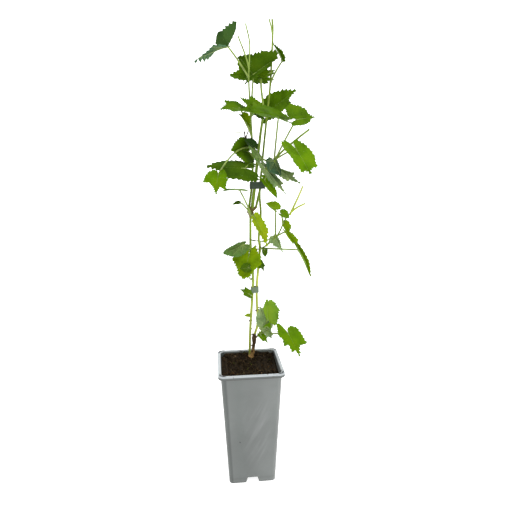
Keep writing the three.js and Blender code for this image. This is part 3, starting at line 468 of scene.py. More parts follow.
# Main veins by leaf shape, as angles from the tip.
VEINS = {
    "lobed": (0, 43, 96, 150),
    "plain": (0, 47, 98, 134),
    "young": (0, 38, 85),
    "winged": (0, 33, 76, 126),
    "full": (0, 26, 68, 112),
    "flared": (0, 24, 83, 113),
    "star": (0, 30, 64, 104),
    "broad": (0, 36, 88, 124),
    "jagged": (0, 25, 56, 138),
    "notched": (0, 42, 88, 128),
    "toothy": (0, 43, 96, 150),
    "hand": (0, 34, 92, 138),
    "corner": (0, 42, 92, 132),
    "slim": (0, 40, 94, 150),
    "curled": (0, 38, 94, 128),
    "wavy": (0, 34, 80),
    "round": (0, 32, 66, 104),
    "skewed": (0, 24, 62, 110),
    "drooped": (0, 40, 66, 104),
    "wide": (0, 25, 47, 98),
    "narrow": (0, 44),
}
MAIN_VEIN = {"reach": 0.96, "points": 9, "outer": 0.75}
SIDE_VEIN = {"first": 0.16, "last": 0.9, "shift": 0.05, "step": 0.125, "step_vary": (0.85, 1.15),
             "slant": 46, "length": 0.5, "longest": 1.05, "curve": 0.2, "pieces": 5, "end": 0.5,
             "from_midrib": 0.01, "from_main": 0.02, "edge": 0.93}
VEIN_HALF_WIDTH = {"main": 1.1, "side": 0.45, "end": 0.22}  # millimetres
VEIN_RISE = {"top": 0.12, "under": 0.3}  # millimetres

# Seeded numbers: state times factor plus step, within the range, and primes for noise.
DICE = {"factor": 1103515245, "step": 12345, "range": 2147483648}
NOISE_PRIMES = (73856093, 19349663, 83492791)
NOISE_SEED = 2654435761
NOISE_LEVELS = 4096


# ---------------------------------------------------------------- numbers and noise
def dice(seed):
    """Seeded numbers between 0 and 1, the same rule as the solids use."""
    state = seed
    while True:
        state = (state * DICE["factor"] + DICE["step"]) % DICE["range"]
        yield state / DICE["range"]


def lattice_noise(points, spacing, seed):
    """Smooth noise between -1 and 1 at points, with bumps about one spacing wide."""
    cell = np.asarray(points, float) / spacing
    base = np.floor(cell).astype(np.int64)
    part = cell - base
    part = part * part * (3 - 2 * part)
    total = np.zeros(len(cell))
    for corner in range(8):
        step = np.array([corner & 1, corner >> 1 & 1, corner >> 2 & 1])
        x, y, z = ((base + step) * NOISE_PRIMES).T
        value = (x ^ y ^ z ^ (seed * NOISE_SEED)) % DICE["range"]
        value = (value * DICE["factor"] + DICE["step"]) % DICE["range"]
        value = (value >> 8) % NOISE_LEVELS / ((NOISE_LEVELS - 1) / 2) - 1
        share = np.where(step == 1, part, 1 - part).prod(axis=1)
        total += share * value
    return total


def unit(vectors):
    return vectors / np.maximum(np.linalg.norm(vectors, axis=-1, keepdims=True), 1e-9)


# ---------------------------------------------------------------- meshes from arrays
class Patches:
    """Points and faces gathered into one mesh, each face with its material's name."""

    def __init__(self):
        self.points = []
        self.faces = []
        self.kinds = []
        self.count = 0

    def add(self, points, faces, kind):
        self.points.append(np.asarray(points, float))
        self.faces.extend([[self.count + i for i in face] for face in faces])
        self.kinds.extend([kind] * len(faces) if isinstance(kind, str) else kind)
        self.count += len(points)

    def finish(self, name, finishes, nodes, slot, angle=SMOOTH["plant"]):
        """Makes the piece: finishes maps each kind to its material."""
        kinds = sorted(set(self.kinds))
        mesh = bpy.data.meshes.new(name)
        mesh.from_pydata(np.concatenate(self.points) * MM, [], self.faces)
        for kind in kinds:
            mesh.materials.append(finishes[kind])
        mesh.polygons.foreach_set("material_index", [kinds.index(kind) for kind in self.kinds])
        mesh.update()
        piece = bpy.data.objects.new(name, mesh)
        bpy.context.collection.objects.link(piece)
        only(piece)
        bpy.ops.object.shade_smooth_by_angle(angle=angle)
        register_piece(piece, nodes)
        return piece


def only(piece):
    """Selects one object and makes it active."""
    bpy.ops.object.select_all(action="DESELECT")
    piece.select_set(True)
    bpy.context.view_layer.objects.active = piece


def register_piece(piece, nodes):
    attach(piece, "root")
    if nodes:
        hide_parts(*nodes)


def ring_faces(rings, around, closed=False):
    """Quads over rings of points, with flat ends unless the rings close on themselves."""
    faces = []
    for k in range(rings if closed else rings - 1):
        low = k * around
        high = (k + 1) % rings * around
        for i in range(around):
            j = (i + 1) % around
            faces.append((low + i, low + j, high + j, high + i))
    if not closed:
        last = (rings - 1) * around
        faces.append(tuple(range(around - 1, -1, -1)))
        faces.append(tuple(last + i for i in range(around)))
    return faces


def tube(path, radii, sides):
    """Points and faces of a tube along a path."""
    path = np.asarray(path, float)
    radii = np.broadcast_to(np.asarray(radii, float), len(path))
    ahead = unit(np.gradient(path, axis=0))
    across = np.array([1.0, 0, 0]) if abs(ahead[0][0]) < 0.8 else np.array([0, 1.0, 0])
    turns = np.arange(sides) * 2 * math.pi / sides
    rings = []
    for k, point in enumerate(path):
        across = unit(across - ahead[k] * across.dot(ahead[k]))
        up = np.cross(ahead[k], across)
        rings.append(point + (radii[k] * np.cos(turns))[:, None] * across
                     + (radii[k] * np.sin(turns))[:, None] * up)
    return np.concatenate(rings), ring_faces(len(path), sides)


def smooth_line(route, steps=SPAN_STEPS):
    """Curve through the points of a route, which leaves each end towards the next point."""
    points = np.asarray(route, float)
    padded = np.vstack([2 * points[0] - points[1], points, 2 * points[-1] - points[-2]])
    line = []
    for k in range(len(points) - 1):
        before, start, end, after = padded[k:k + 4]
        slope_in = (end - before) / 2
        slope_out = (after - start) / 2
        for t in np.arange(steps) / steps:
            line.append(start + slope_in * t
                        + (-3 * start + 3 * end - 2 * slope_in - slope_out) * t ** 2
                        + (2 * start - 2 * end + slope_in + slope_out) * t ** 3)
    line.append(points[-1])
    return np.array(line)


LINES = {name: smooth_line(route) for name, (route, _, _) in CANES.items()}


def on_cane(name, height):
    """Point of a cane's centre line at a height."""
    line = LINES[name]
    k = 1
    while k < len(line) - 1 and line[k][2] < height:
        k += 1
    share = (height - line[k - 1][2]) / (line[k][2] - line[k - 1][2])
    return line[k - 1] + (line[k] - line[k - 1]) * share


def cane_radius(name, height):
    """Half the cane's thickness at a height, from its foot to its tip."""
    _, thick, thin = CANES[name]
    line = LINES[name]
    share = (height - line[0][2]) / (line[-1][2] - line[0][2])
    return (thick + (thin - thick) * share) / 2


# ---------------------------------------------------------------- materials
def finish(name, colour, roughness):
    """A new material with its shader, ready for patterns on object coordinates."""
    material = bpy.data.materials.new(name)
    material.use_nodes = True
    shader = material.node_tree.nodes["Principled BSDF"]
    shader.inputs["Base Color"].default_value = (*colour, 1)
    shader.inputs["Roughness"].default_value = roughness
    return material


def node(material, kind, **values):
    """Adds a shader node; values name its inputs or its own settings."""
    made = material.node_tree.nodes.new(kind)
    for key, value in values.items():
        socket = made.inputs.get(key.replace("_", " ").title())
        if socket is not None:
            socket.default_value = value
        else:
            setattr(made, key, value)
    return made


def link(material, start, output, end, entry):
    material.node_tree.links.new(start.outputs[output], end.inputs[entry])


def place(material, stretch=(1, 1, 1), turn=(0, 0, 0)):
    """Object coordinates, turned and then drawn out for one pattern."""
    source = node(material, "ShaderNodeTexCoord")
    mapping = node(material, "ShaderNodeMapping", vector_type="TEXTURE")
    mapping.inputs["Scale"].default_value = stretch
    mapping.inputs["Rotation"].default_value = turn
    link(material, source, "Object", mapping, "Vector")
    return mapping


def noise(material, scale, detail=3.0, stretch=(1, 1, 1), turn=(0, 0, 0)):
    made = node(material, "ShaderNodeTexNoise", scale=scale, detail=detail)
    link(material, place(material, stretch, turn), "Vector", made, "Vector")
    return made


def ramp(material, source, output, stops):
    """Colour ramp driven by a pattern; stops are (place, colour)."""
    made = node(material, "ShaderNodeValToRGB")
    elements = made.color_ramp.elements
    while len(elements) < len(stops):
        elements.new(0.5)
    for element, (position, colour) in zip(elements, stops):
        element.position = position
        element.color = (*colour, 1)
    link(material, source, output, made, "Fac")
    return made


def shade(colour, factor):
    return tuple(min(1.0, channel * factor) for channel in colour)


def greys(stops):
    """Stops of a ramp from places and levels of grey."""
    return [(position, (level, level, level)) for position, level in stops]


def blend(a, b, share):
    return tuple(x + (y - x) * share for x, y in zip(a, b))


def colour_from(material, pattern):
    shader = material.node_tree.nodes["Principled BSDF"]
    link(material, pattern, "Color", shader, "Base Color")


def roughness_from(material, source, output, low, high):
    shader = material.node_tree.nodes["Principled BSDF"]
    made = node(material, "ShaderNodeMapRange", to_min=low, to_max=high)
    link(material, source, output, made, "Value")
    link(material, made, "Result", shader, "Roughness")


def bump_from(material, source, output, strength, distance):
    """Adds a bump under any bump the material already has."""
    shader = material.node_tree.nodes["Principled BSDF"]
    made = node(material, "ShaderNodeBump", strength=strength, distance=distance)
    link(material, source, output, made, "Height")
    before = [line for line in material.node_tree.links if line.to_socket == shader.inputs["Normal"]]
    for old in before:
        material.node_tree.links.new(old.from_socket, made.inputs["Normal"])
    link(material, made, "Normal", shader, "Normal")


def overlay(material, below, above, share, blend_type="MIX"):
    """Mixes a colour socket over another; share is a number or a socket."""
    made = node(material, "ShaderNodeMix", data_type="RGBA", blend_type=blend_type)
    for entry, value in ((0, share), (6, below), (7, above)):
        if isinstance(value, bpy.types.NodeSocket):
            material.node_tree.links.new(value, made.inputs[entry])
        else:
            made.inputs[entry].default_value = value
    return made.outputs[2]


def colour_socket(material, socket):
    shader = material.node_tree.nodes["Principled BSDF"]
    material.node_tree.links.new(socket, shader.inputs["Base Color"])


def height_share(material, low, high):
    """Height above the frame's origin as 0 at low and 1 at high, both in millimetres."""
    source = node(material, "ShaderNodeTexCoord")
    split = node(material, "ShaderNodeSeparateXYZ")
    link(material, source, "Object", split, "Vector")
    rise = node(material, "ShaderNodeMapRange")
    rise.inputs["From Min"].default_value = low * MM
    rise.inputs["From Max"].default_value = high * MM
    link(material, split, "Z", rise, "Value")
    return rise


def leaf_finish(name, colour, gloss):
    """Leaf skin: broad soft patches, fine mottling and a weak gloss."""
    skin = LEAF_SKIN
    material = finish(name, colour, gloss)
    material.node_tree.nodes["Principled BSDF"].inputs["IOR"].default_value = skin["ior"]
    patches = noise(material, *skin["patches"])
    mottled = noise(material, *skin["mottling"])
    mixed = node(material, "ShaderNodeMath", operation="MULTIPLY_ADD")
    mixed.inputs[1].default_value = skin["mottling_share"]
    link(material, mottled, "Fac", mixed, 0)
    link(material, patches, "Fac", mixed, 2)
    warm = tuple(channel * factor for channel, factor in zip(colour, skin["warm"]))
    tones = (shade(colour, skin["dark"]), colour, warm)
    colour_from(material, ramp(material, mixed, "Value", list(zip(skin["stops"], tones))))
    least, most = skin["gloss"]
    roughness_from(material, patches, "Fac", gloss + least, gloss + most)
    bump_from(material, mottled, "Fac", *skin["bump"])
    return material


def stem_finish(name, colour, dull):
    """Smooth green skin of stalks, duller in long streaks."""
    skin = STALK_SKIN
    material = finish(name, colour, skin["roughness"])
    streaks = noise(material, *skin["streaks"], stretch=skin["drawn"])
    colour_from(material, ramp(material, streaks, "Fac", list(zip(skin["stops"], (dull, colour)))))
    return material


def cane_finish(name, low, high, heights, speck):
    """Cane skin: one colour at the foot, another above, with streaks and brown specks."""
    skin = CANE_SKIN
    material = finish(name, low, skin["roughness"])
    material.node_tree.nodes["Principled BSDF"].inputs["IOR"].default_value = skin["ior"]
    growth = ramp(material, height_share(material, *heights), "Result", [(0.0, low), (1.0, high)])
    streaks = noise(material, *skin["streaks"], stretch=skin["drawn"])
    dull = ramp(material, streaks, "Fac", list(zip(skin["stops"], (skin["dull"], WHITE))))
    streaked = overlay(material, growth.outputs["Color"], dull.outputs["Color"], skin["streak_share"],
                       "MULTIPLY")
    specks = noise(material, *skin["specks"])
    spots = ramp(material, specks, "Fac", list(zip(skin["speck_stops"], (BLACK, WHITE))))
    colour_socket(material, overlay(material, streaked, (*speck, 1), spots.outputs["Color"]))
    return material


def soil_finish(name, colour):
    """Dull ground with dark and pale grains."""
    skin = SOIL_SKIN
    material = finish(name, colour, skin["roughness"])
    shader = material.node_tree.nodes["Principled BSDF"]
    shader.inputs["Specular IOR Level"].default_value = skin["specular"]
    tones = (shade(colour, skin["dark"]), colour, shade(colour, skin["pale"]))
    grains = noise(material, *skin["grains"])
    colour_from(material, ramp(material, grains, "Fac", list(zip(skin["stops"], tones))))
    return material


def wall_position(material):
    """Place across the pot's width, -1 at the left wall and 1 at the right one."""
    source = node(material, "ShaderNodeTexCoord")
    split = node(material, "ShaderNodeSeparateXYZ")
    link(material, source, "Object", split, "Vector")
    half = node(material, "ShaderNodeMath", operation="MULTIPLY_ADD")
    skirt = POT["height"] - POT["lip_drop"]
    half.inputs[1].default_value = (POT["body_top"] - POT["base"]) / 2 / skirt
    half.inputs[2].default_value = POT["base"] / 2 * MM
    link(material, split, "Z", half, 0)
    across = node(material, "ShaderNodeMath", operation="DIVIDE")
    link(material, split, "X", across, 0)
    link(material, half, "Value", across, 1)
    return across


def pot_finish(name, roughness):
    """Grey plastic: rubbed slanting streaks, soft clouds and dark specks; painted shade on the left side,
    painted light on the right side and towards the top.
    """
    skin = WALL_SKIN
    wall = POT_TINTS["wall"]
    material = finish(name, wall, roughness)
    clouds = noise(material, *skin["clouds"])
    tones = (shade(wall, skin["dark"]), wall, shade(wall, skin["pale"]))
    base = ramp(material, clouds, "Fac", list(zip(skin["cloud_stops"], tones)))
    streaks = noise(material, *skin["streaks"], stretch=skin["drawn"], turn=skin["slant"])
    rubbed = ramp(material, streaks, "Fac", list(zip(skin["streak_stops"], (BLACK, WHITE))))
    half = node(material, "ShaderNodeMapRange")
    half.inputs["From Min"].default_value = -1
    link(material, wall_position(material), "Value", half, "Value")
    middle = ramp(material, half, "Result", greys(RUBBED_ACROSS))
    belt = ramp(material, height_share(material, *RUBBED_BELT), "Result", greys(RUBBED_UP))
    area = overlay(material, middle.outputs["Color"], belt.outputs["Color"], 1.0, "MULTIPLY")
    where = overlay(material, area, rubbed.outputs["Color"], 1.0, "MULTIPLY")
    worn = overlay(material, base.outputs["Color"], (*POT_TINTS["rubbed"], 1), where)
    specks = noise(material, *skin["specks"])
    spots = ramp(material, specks, "Fac", list(zip(skin["speck_stops"], (BLACK, WHITE))))
    worn = overlay(material, worn, (*POT_TINTS["speck"], 1), spots.outputs["Color"])
    # Painted shade on the left side of the wall and painted light on its right side.
    sides = ramp(material, half, "Result", PAINTED_SIDE_LIGHT)
    worn = overlay(material, worn, sides.outputs["Color"], 1.0, "MULTIPLY")
    # Painted light: lighter towards the top of the wall, with a darker band near the foot.
    foot = ramp(material, height_share(material, 0, POT["height"]), "Result", greys(PAINTED_LIGHT_UP))
    colour_socket(material, overlay(material, worn, foot.outputs["Color"], 1.0, "MULTIPLY"))
    bump_from(material, clouds, "Fac", *skin["bump"])
    return material


def lip_finish(name, roughness):
    """Painted highlight: pale bluish along the top of the lip; painted shade: darker grey below it; towards
    its lower edge a dark line, partly dirt and partly painted shadow, with patches of dirt over the lip.
    """
    lip, skirt, dirt = (POT_TINTS[part] for part in ("lip", "skirt", "dirt"))
    material = finish(name, lip, roughness)
    top = POT["height"]
    # Painted highlight along the top of the lip, painted shade below it, and a dark line at its lower edge,
    # partly dirt and partly painted shadow.
    painted_light_bands = ramp(material, height_share(material, top - POT["lip_drop"], top), "Result", [
        (0.0, dirt), (0.12, shade(skirt, LIP_SKIN["edge"])), (0.3, skirt), (0.56, skirt),
        (0.7, lip), (1.0, lip)])
    grime = noise(material, *LIP_SKIN["dirt"])
    soiled = ramp(material, grime, "Fac", list(zip(LIP_SKIN["dirt_stops"], (WHITE, BLACK))))
    colour_socket(material, overlay(
        material, painted_light_bands.outputs["Color"], (*dirt, 1), soiled.outputs["Color"]))
    return material

# ---------------------------------------------------------------- leaves
def edge_corners(shape, width):
    """Corners of half an edge on the flat blade, with the tips of the lobes drawn out."""
    reaches = [reach for _, reach in SHAPES[shape]]
    corners = []
    for k, (angle, reach) in enumerate(SHAPES[shape]):
        around = reaches[max(0, k - 1):k] + reaches[k + 1:k + 2]
        if reach > max(around):
            reach += BLADE["lobe_tip"]
        turn = math.radians(angle)
        corners.append(np.array([reach * math.cos(turn), reach * math.sin(turn) * width]))
    return corners


def fine_edge(shape, width, seed):
    """Half of a leaf's edge with teeth, from the tip round to the stalk's notch.

    Gives the angle each point counts under, and its ahead and aside at full size 1."""
    rng = np.random.default_rng(seed)
    turns = [angle for angle, _ in SHAPES[shape]]
    corners = edge_corners(shape, width)
    least = BLADE["tooth_least"]
    places = [corners[0]]
    angles = [0.0]
    for start_angle, end_angle, start, end in zip(turns, turns[1:], corners, corners[1:]):
        run = end - start
        length = np.linalg.norm(run)
        out = np.array([-run[1], run[0]]) / length
        if out.dot(start + end) < 0:
            out = -out
        teeth = max(1, round(length / BLADE["tooth_spacing"]))
        for tooth in range(teeth):
            full = least + (1 - least) * width
            depth = BLADE["tooth_depth"] * full * rng.uniform(*BLADE["tooth_vary"])
            for share, height in TOOTH:
                along = (tooth + share) / teeth
                swell = BLADE["edge_swell"] * length * math.sin(math.pi * along)
                raised = depth * height if tooth + share < teeth else 0
                places.append(start + run * along + out * (raised + swell))
                angles.append(start_angle + (end_angle - start_angle) * along)
    last = corners[-1]
    side = np.array([last[1], -last[0]])
    for share in BLADE["notch_steps"]:
        swell = BLADE["notch_swell"] * math.sin(math.pi * share)
        places.append((last - side * swell) * (1 - share))
        angles.append(turns[-1])
    places = np.array(places)
    return np.array(angles), places[:, 0], places[:, 1] / width


def edge_reach(shape, angles):
    """How far the smooth edge lies from the stalk, by angle in degrees."""
    table = SHAPES[shape]
    return np.interp(angles, [a for a, _ in table], [r for _, r in table])


def vein_lines(shape, seed):
    """Half a leaf's veins in its own plane: lists of (points, half width at each point)."""
    rng = np.random.default_rng(seed)
    mains = []
    for angle in VEINS[shape]:
        reach = edge_reach(shape, angle) * MAIN_VEIN["reach"]
        direction = np.array([math.cos(math.radians(angle)), math.sin(math.radians(angle))])
        mains.append((angle, reach, direction))
    lines = []
    for number, (angle, reach, direction) in enumerate(mains):
        steps = np.linspace(0, reach, MAIN_VEIN["points"])
        width = VEIN_HALF_WIDTH["main"] * (MAIN_VEIN["outer"] if number else 1.0)
        widths = np.interp(steps / reach, [0, 1], [width, VEIN_HALF_WIDTH["end"]])
        lines.append((steps[:, None] * direction, widths))
        for side in (-1, 1):
            if side < 0 and angle == 0:
                continue
            place = SIDE_VEIN["first"] + (SIDE_VEIN["shift"] if side > 0 else 0)
            while place < SIDE_VEIN["last"]:
                line = side_vein(shape, mains, number, place, side)
                if len(line) > 1:
                    shrink = np.linspace(1, SIDE_VEIN["end"], len(line)) * VEIN_HALF_WIDTH["side"]
                    lines.append((line, shrink))
                place += SIDE_VEIN["step"] * rng.uniform(*SIDE_VEIN["step_vary"])
    return lines


def side_vein(shape, mains, number, place, side):
    """One side vein, stopped short of the edge and of the neighbouring main veins."""
    angle, reach, direction = mains[number]
    start = direction * reach * place
    heading = math.radians(angle + side * SIDE_VEIN["slant"])
    points = [start]
    length = SIDE_VEIN["length"] * (SIDE_VEIN["longest"] - place) * reach
    pieces = SIDE_VEIN["pieces"]
    others = [main for k, (main, _, _) in enumerate(mains) if k != number]
    for _ in range(pieces):
        step = length / pieces
        heading -= side * SIDE_VEIN["curve"] / pieces
        point = points[-1] + step * np.array([math.cos(heading), math.sin(heading)])
        turn = math.degrees(math.atan2(point[1], point[0]))
        far = np.linalg.norm(point)
        if point[1] < SIDE_VEIN["from_midrib"] or far > SIDE_VEIN["edge"] * edge_reach(shape, turn):
            break
        if any(math.radians(abs(turn - other)) * far < SIDE_VEIN["from_main"] for other in others):
            break
        points.append(point)
    return np.array(points)


def distance_to_lines(points, lines):
    """Distance from each point to the nearest stretch of any line."""
    nearest = np.full(len(points), math.inf)
    for line, _ in lines:
        for start, end in zip(line, line[1:]):
            run = end - start
            share = np.clip((points - start) @ run / max(run @ run, 1e-9), 0, 1)
            away = np.linalg.norm(points - start - share[:, None] * run, axis=1)
            nearest = np.minimum(nearest, away)
    return nearest


def slow_wave(ahead, aside, seed):
    """Waves of a blade that grow towards its edge."""
    rng = np.random.default_rng(seed)
    phase = rng.uniform(0, 2 * math.pi, len(EDGE_WAVES) + 1)
    turn = np.arctan2(aside, ahead)
    far = np.hypot(ahead, aside)
    waves = sum(height * np.sin(count * turn + phase[k]) * far ** growth
                for k, (count, height, growth) in enumerate(EDGE_WAVES))
    count, height = RIPPLES
    return BLADE["wave"] * (waves + height * np.sin(count * ahead + phase[-1]) * far)


def blade_points(leaf, ahead, aside, lift):
    """Points of the blade after folding at the midrib, twisting and drooping along it."""
    fold = math.radians(leaf["fold"])
    droop = math.radians(leaf["droop"])
    twist = math.radians(leaf["twist"]) * np.maximum(0, ahead)
    raised = np.abs(aside) * math.sin(fold) + lift
    flat = aside * math.cos(fold)
    left = flat * np.cos(twist) + raised * np.sin(twist)
    up = raised * np.cos(twist) - flat * np.sin(twist)
    bend = droop * ahead
    curved = abs(droop) > BLADE["flat"]
    along = np.sin(bend) / droop if curved else ahead
    fall = (1 - np.cos(bend)) / droop if curved else 0
    return np.stack([along + up * np.sin(bend), left, up * np.cos(bend) - fall], axis=-1) * leaf["size"]


def blade_frame(leaf):
    """Rows: the leaf's ahead, left and up directions."""
    heading, dip, roll = (math.radians(leaf[key]) for key in ("heading", "dip", "roll"))
    ahead = np.array([math.cos(dip) * math.cos(heading), math.cos(dip) * math.sin(heading), math.sin(dip)])
    level = np.array([-math.sin(dip) * math.cos(heading), -math.sin(dip) * math.sin(heading), math.cos(dip)])
    up = level * math.cos(roll) + np.cross(level, ahead) * math.sin(roll)
    return np.array([ahead, np.cross(up, ahead), up])


def leaf_root(leaf):
    """Where the blade meets its stalk."""
    turn = math.radians(leaf["turn"])
    away = np.array([leaf["reach"] * math.cos(turn), leaf["reach"] * math.sin(turn), leaf["rise"]])
    return on_cane(leaf["on"], leaf["node"]) + away


def add_blade(leaf, seed, blades, veins):
    """Adds both halves of one leaf, and its veins, to the joined meshes."""
    frame_rows = blade_frame(leaf)
    root = leaf_root(leaf)
    thin = BLADE["thickness_mm"] / leaf["size"]

    def world(ahead, aside, lift):
        return root + blade_points(leaf, ahead, aside, lift) @ frame_rows

    for side, width, shape in ((1, leaf["left"], leaf.get("left_shape", leaf["shape"])),
                               (-1, leaf["right"], leaf["shape"])):
        lines = vein_lines(shape, seed + side)
        angle, edge_ahead, edge_aside = fine_edge(shape, width, seed * 7 + side)
        anchor = np.interp(angle, ANCHOR_ANGLES, ANCHOR_PLACES)
        rows = np.linspace(0, 1, BLADE["rows"] + 1)[:, None]
        ahead = (anchor + (edge_ahead - anchor) * rows).ravel()
        aside = (edge_aside * rows).ravel()
        away = distance_to_lines(np.stack([ahead, aside], axis=1), lines)
        puff = BLADE["puff"] * np.minimum(1, away / BLADE["puff_reach"]) ** BLADE["puff_round"]
        lift = puff + slow_wave(ahead, side * aside, seed)
        top = world(ahead, side * aside * width, lift)
        under = world(ahead, side * aside * width, lift - thin)
        faces, kinds = sheet_faces(len(angle), BLADE["rows"] + 1, side, leaf)
        blades.add(np.concatenate([top, under]), faces, kinds)
        for line, widths in lines:
            add_vein(leaf, line, widths, side, width, world, seed, veins)


def sheet_faces(columns, rows, side, leaf):
    """Faces of a thin closed sheet: top, underside and the walls round it."""
    count = columns * rows
    top = []
    for r in range(rows - 1):
        for c in range(columns - 1):
            a, b = r * columns + c, r * columns + c + 1
            d, e = a + columns, b + columns
            top.append((a, b, e, d) if side < 0 else (a, d, e, b))
    border = list(range(columns))
    border += [r * columns + columns - 1 for r in range(1, rows)]
    border += [(rows - 1) * columns + c for c in range(columns - 2, -1, -1)]
    border += [r * columns for r in range(rows - 2, 0, -1)]
    walls = []
    for here, then in zip(border, border[1:] + border[:1]):
        wall = (then, here, count + here, count + then)
        walls.append(wall if side < 0 else wall[::-1])
    faces = top + [tuple(count + i for i in face[::-1]) for face in top] + walls
    kinds = [leaf["tint"]] * len(top) + ["under " + leaf["under"]] * len(top)
    return faces, kinds + [leaf["tint"]] * len(walls)


def add_vein(leaf, line, widths, side, width, world, seed, veins):
    """A vein as a four-sided rib, standing out a little above and more below."""
    thin = BLADE["thickness_mm"]
    run = unit(np.gradient(line, axis=0))
    across = np.stack([-run[:, 1], run[:, 0]], axis=1) * (widths / leaf["size"])[:, None]
    lift = slow_wave(line[:, 0], side * line[:, 1], seed)
    rings = []
    corners = ((1, -thin / 2), (0, VEIN_RISE["top"]), (-1, -thin / 2), (0, -thin - VEIN_RISE["under"]))
    for offset, rise in corners:
        spot = line + across * offset
        rings.append(world(spot[:, 0], side * spot[:, 1] * width, lift + rise / leaf["size"]))
    points = np.stack(rings, axis=1).reshape(-1, 3)
    faces = ring_faces(len(line), 4)
    upper = "rib " + leaf["tint"]
    lower = "rib " + leaf["under"]
    kinds = [upper if i % 4 < 2 else lower for i in range(len(faces) - 2)] + [lower, lower]
    if side > 0:
        faces = [face[::-1] for face in faces]
    veins.add(points, faces, kinds)


def add_stalk(leaf, stalks):
    """Stalk from inside the cane to a little way under the midrib, thicker at its foot."""
    start = on_cane(leaf["on"], leaf["node"])
    root = leaf_root(leaf)
    crown = (start + root) / 2 + np.array([0, 0, leaf["arch"]])
    t = np.linspace(0, 1, STALK["steps"] + 1)[:, None]
    path = start * (1 - t) ** 2 + crown * 2 * t * (1 - t) + root * t ** 2
    depth = BLADE["thickness_mm"] / leaf["size"]
    last = root + blade_points(leaf, STALK["rooted"], 0.0, -depth) @ blade_frame(leaf)
    path = np.vstack([path, last])
    length = np.linalg.norm(root - start)
    radii = np.linspace(STALK["thick"], STALK["thin"], len(path)) / 2
    foot = np.exp(-(np.linspace(0, length, len(path)) / STALK["foot"]) ** 2)
    radii = radii * (1 + STALK["foot_swell"] * foot)
    radii[-1] *= STALK["end"]
    points, faces = tube(path, radii, STALK["sides"])
    stalks.add(points, faces, "stalk")


def leaves_behind(name, mass, seed):
    """Leaves of the seeded rule, on the far side of the mass's first stem."""
    roll = dice(seed)

    def between(limits):
        low, high = limits
        return low + (high - low) * next(roll)

    leaves = []
    for height in mass["behind"]:
        turn = between(BEHIND["turn"])
        leaf = {"on": BACK_STEM[name], "node": height, "turn": turn}
        for key in ("reach", "rise", "size"):
            leaf[key] = between(BEHIND[key])
        leaf["heading"] = turn + between(BEHIND["swing"])
        for key in ("dip", "roll"):
            leaf[key] = between(BEHIND[key])
        leaves.append({**leaf, "tint": "mid"})
    return leaves


def foliage_groups():
    """Every leaf, complete and with a number of its own, gathered by joined piece."""
    groups = {}
    number = 0
    for order, (name, mass) in enumerate(MASSES.items()):
        for entry in mass["leaves"] + leaves_behind(name, mass, BEHIND_SEED + order):
            number += 1
            groups.setdefault(GROUP_OF[name], []).append((number, {**USUAL, **entry}))
    return groups


# ---------------------------------------------------------------- wood, canes and ties
def cane_points(name, nodes):
    """A cane with slight swellings where its leaves grow."""
    _, thick, thin = CANES[name]
    line = LINES[name]
    heights = line[:, 2]
    share = (heights - heights[0]) / (heights[-1] - heights[0])
    radii = (thick + (thin - thick) * share) / 2
    for node_height in nodes:
        swell = np.exp(-((heights - node_height) / CANE_NODE["length"]) ** 2)
        radii = radii * (1 + CANE_NODE["swell"] * swell)
    return tube(line, radii, CANE_SIDES)


def dense(path, radii, steps):
    """A path and its radii with more points along it."""
    path = np.asarray(path, float)
    places = np.arange(len(path))
    fine = np.linspace(0, len(path) - 1, (len(path) - 1) * steps + 1)
    smooth = smooth_line(path, steps)
    return smooth, np.interp(fine, places, radii)


def bark(points, strength, seed):
    """How far bark points move in or out, along furrows that run up the wood."""
    stretched = points * np.array(BARK["drawn"])
    furrow = sum(lattice_noise(stretched, spacing, seed + k) * share
                 for k, (spacing, share) in enumerate(BARK["furrows"]))
    return furrow * strength


def barked_tube(path, radii, sides, steps, strength, seed):
    """Points and faces of a limb with furrowed bark."""
    path, radii = dense(path, radii, steps)
    points, faces = tube(path, radii, sides)
    rings = points.reshape(len(path), sides, 3)
    out = unit(rings - path[:, None, :])
    moved = rings + out * bark(points, strength, seed).reshape(len(path), sides, 1)
    return moved.reshape(-1, 3), faces


def knobs(patches, path, rule, kind, seed):
    """Rough buds and scars dealt over the wood along a path."""
    path = np.array(path, float)
    rng = np.random.default_rng(seed)
    sides, steps, strength = KNOB["grain"]
    for _ in range(rule["count"]):
        place = rng.uniform(0, len(path) - 1.01)
        k = int(place)
        start = path[k] + (path[k + 1] - path[k]) * (place - k)
        turn = rng.uniform(0, 2 * math.pi)
        out = np.array([math.cos(turn), math.sin(turn), rng.uniform(*KNOB["tilt"])])
        reach = rng.uniform(*rule["reach"])
        radius = rng.uniform(*rule["radius"])
        route = [start + out * reach * share for share in KNOB["route"]]
        radii = [radius * share for share in KNOB["taper"]]
        patches.add(*barked_tube(route, radii, sides, steps, strength, seed + 1), kind)


def trunk_patches(patches):
    """The trunk with its buds and scars, and its cut spur."""
    path = np.add(TRUNK["foot"], TRUNK["route"])
    patches.add(*barked_tube(path, TRUNK["radii"], *GRAIN["trunk"]), "trunk")
    knobs(patches, path[TRUNK_NECK:], KNOBS["trunk"], "trunk", KNOBS["trunk"]["seed"])
    spur = np.add(TRUNK["foot"], SPUR["route"])
    patches.add(*barked_tube(spur, SPUR["radii"], *GRAIN["spur"]), "spur")


def knot_patches(patches):
    """The knot with its scars, and an arm up to the foot of each cane."""
    centre = np.array(KNOT["centre"])
    path = [centre + (0, 0, KNOT["half"] * level) for level in KNOT["levels"]]
    patches.add(*barked_tube(path, KNOT["radii"], *GRAIN["knot"]), "knot")
    knobs(patches, path, KNOBS["knot"], "knot", KNOBS["knot"]["seed"])
    for cane, height in KNOT["arms"]:
        tip = on_cane(cane, height)
        radius = max(KNOT["arm"], cane_radius(cane, height) + KNOT["arm_past_cane"])
        route = [centre, (centre + tip) / 2, tip]
        patches.add(*barked_tube(route, [radius, radius, radius * KNOT["arm_end"]], *GRAIN["arm"]), "knot")


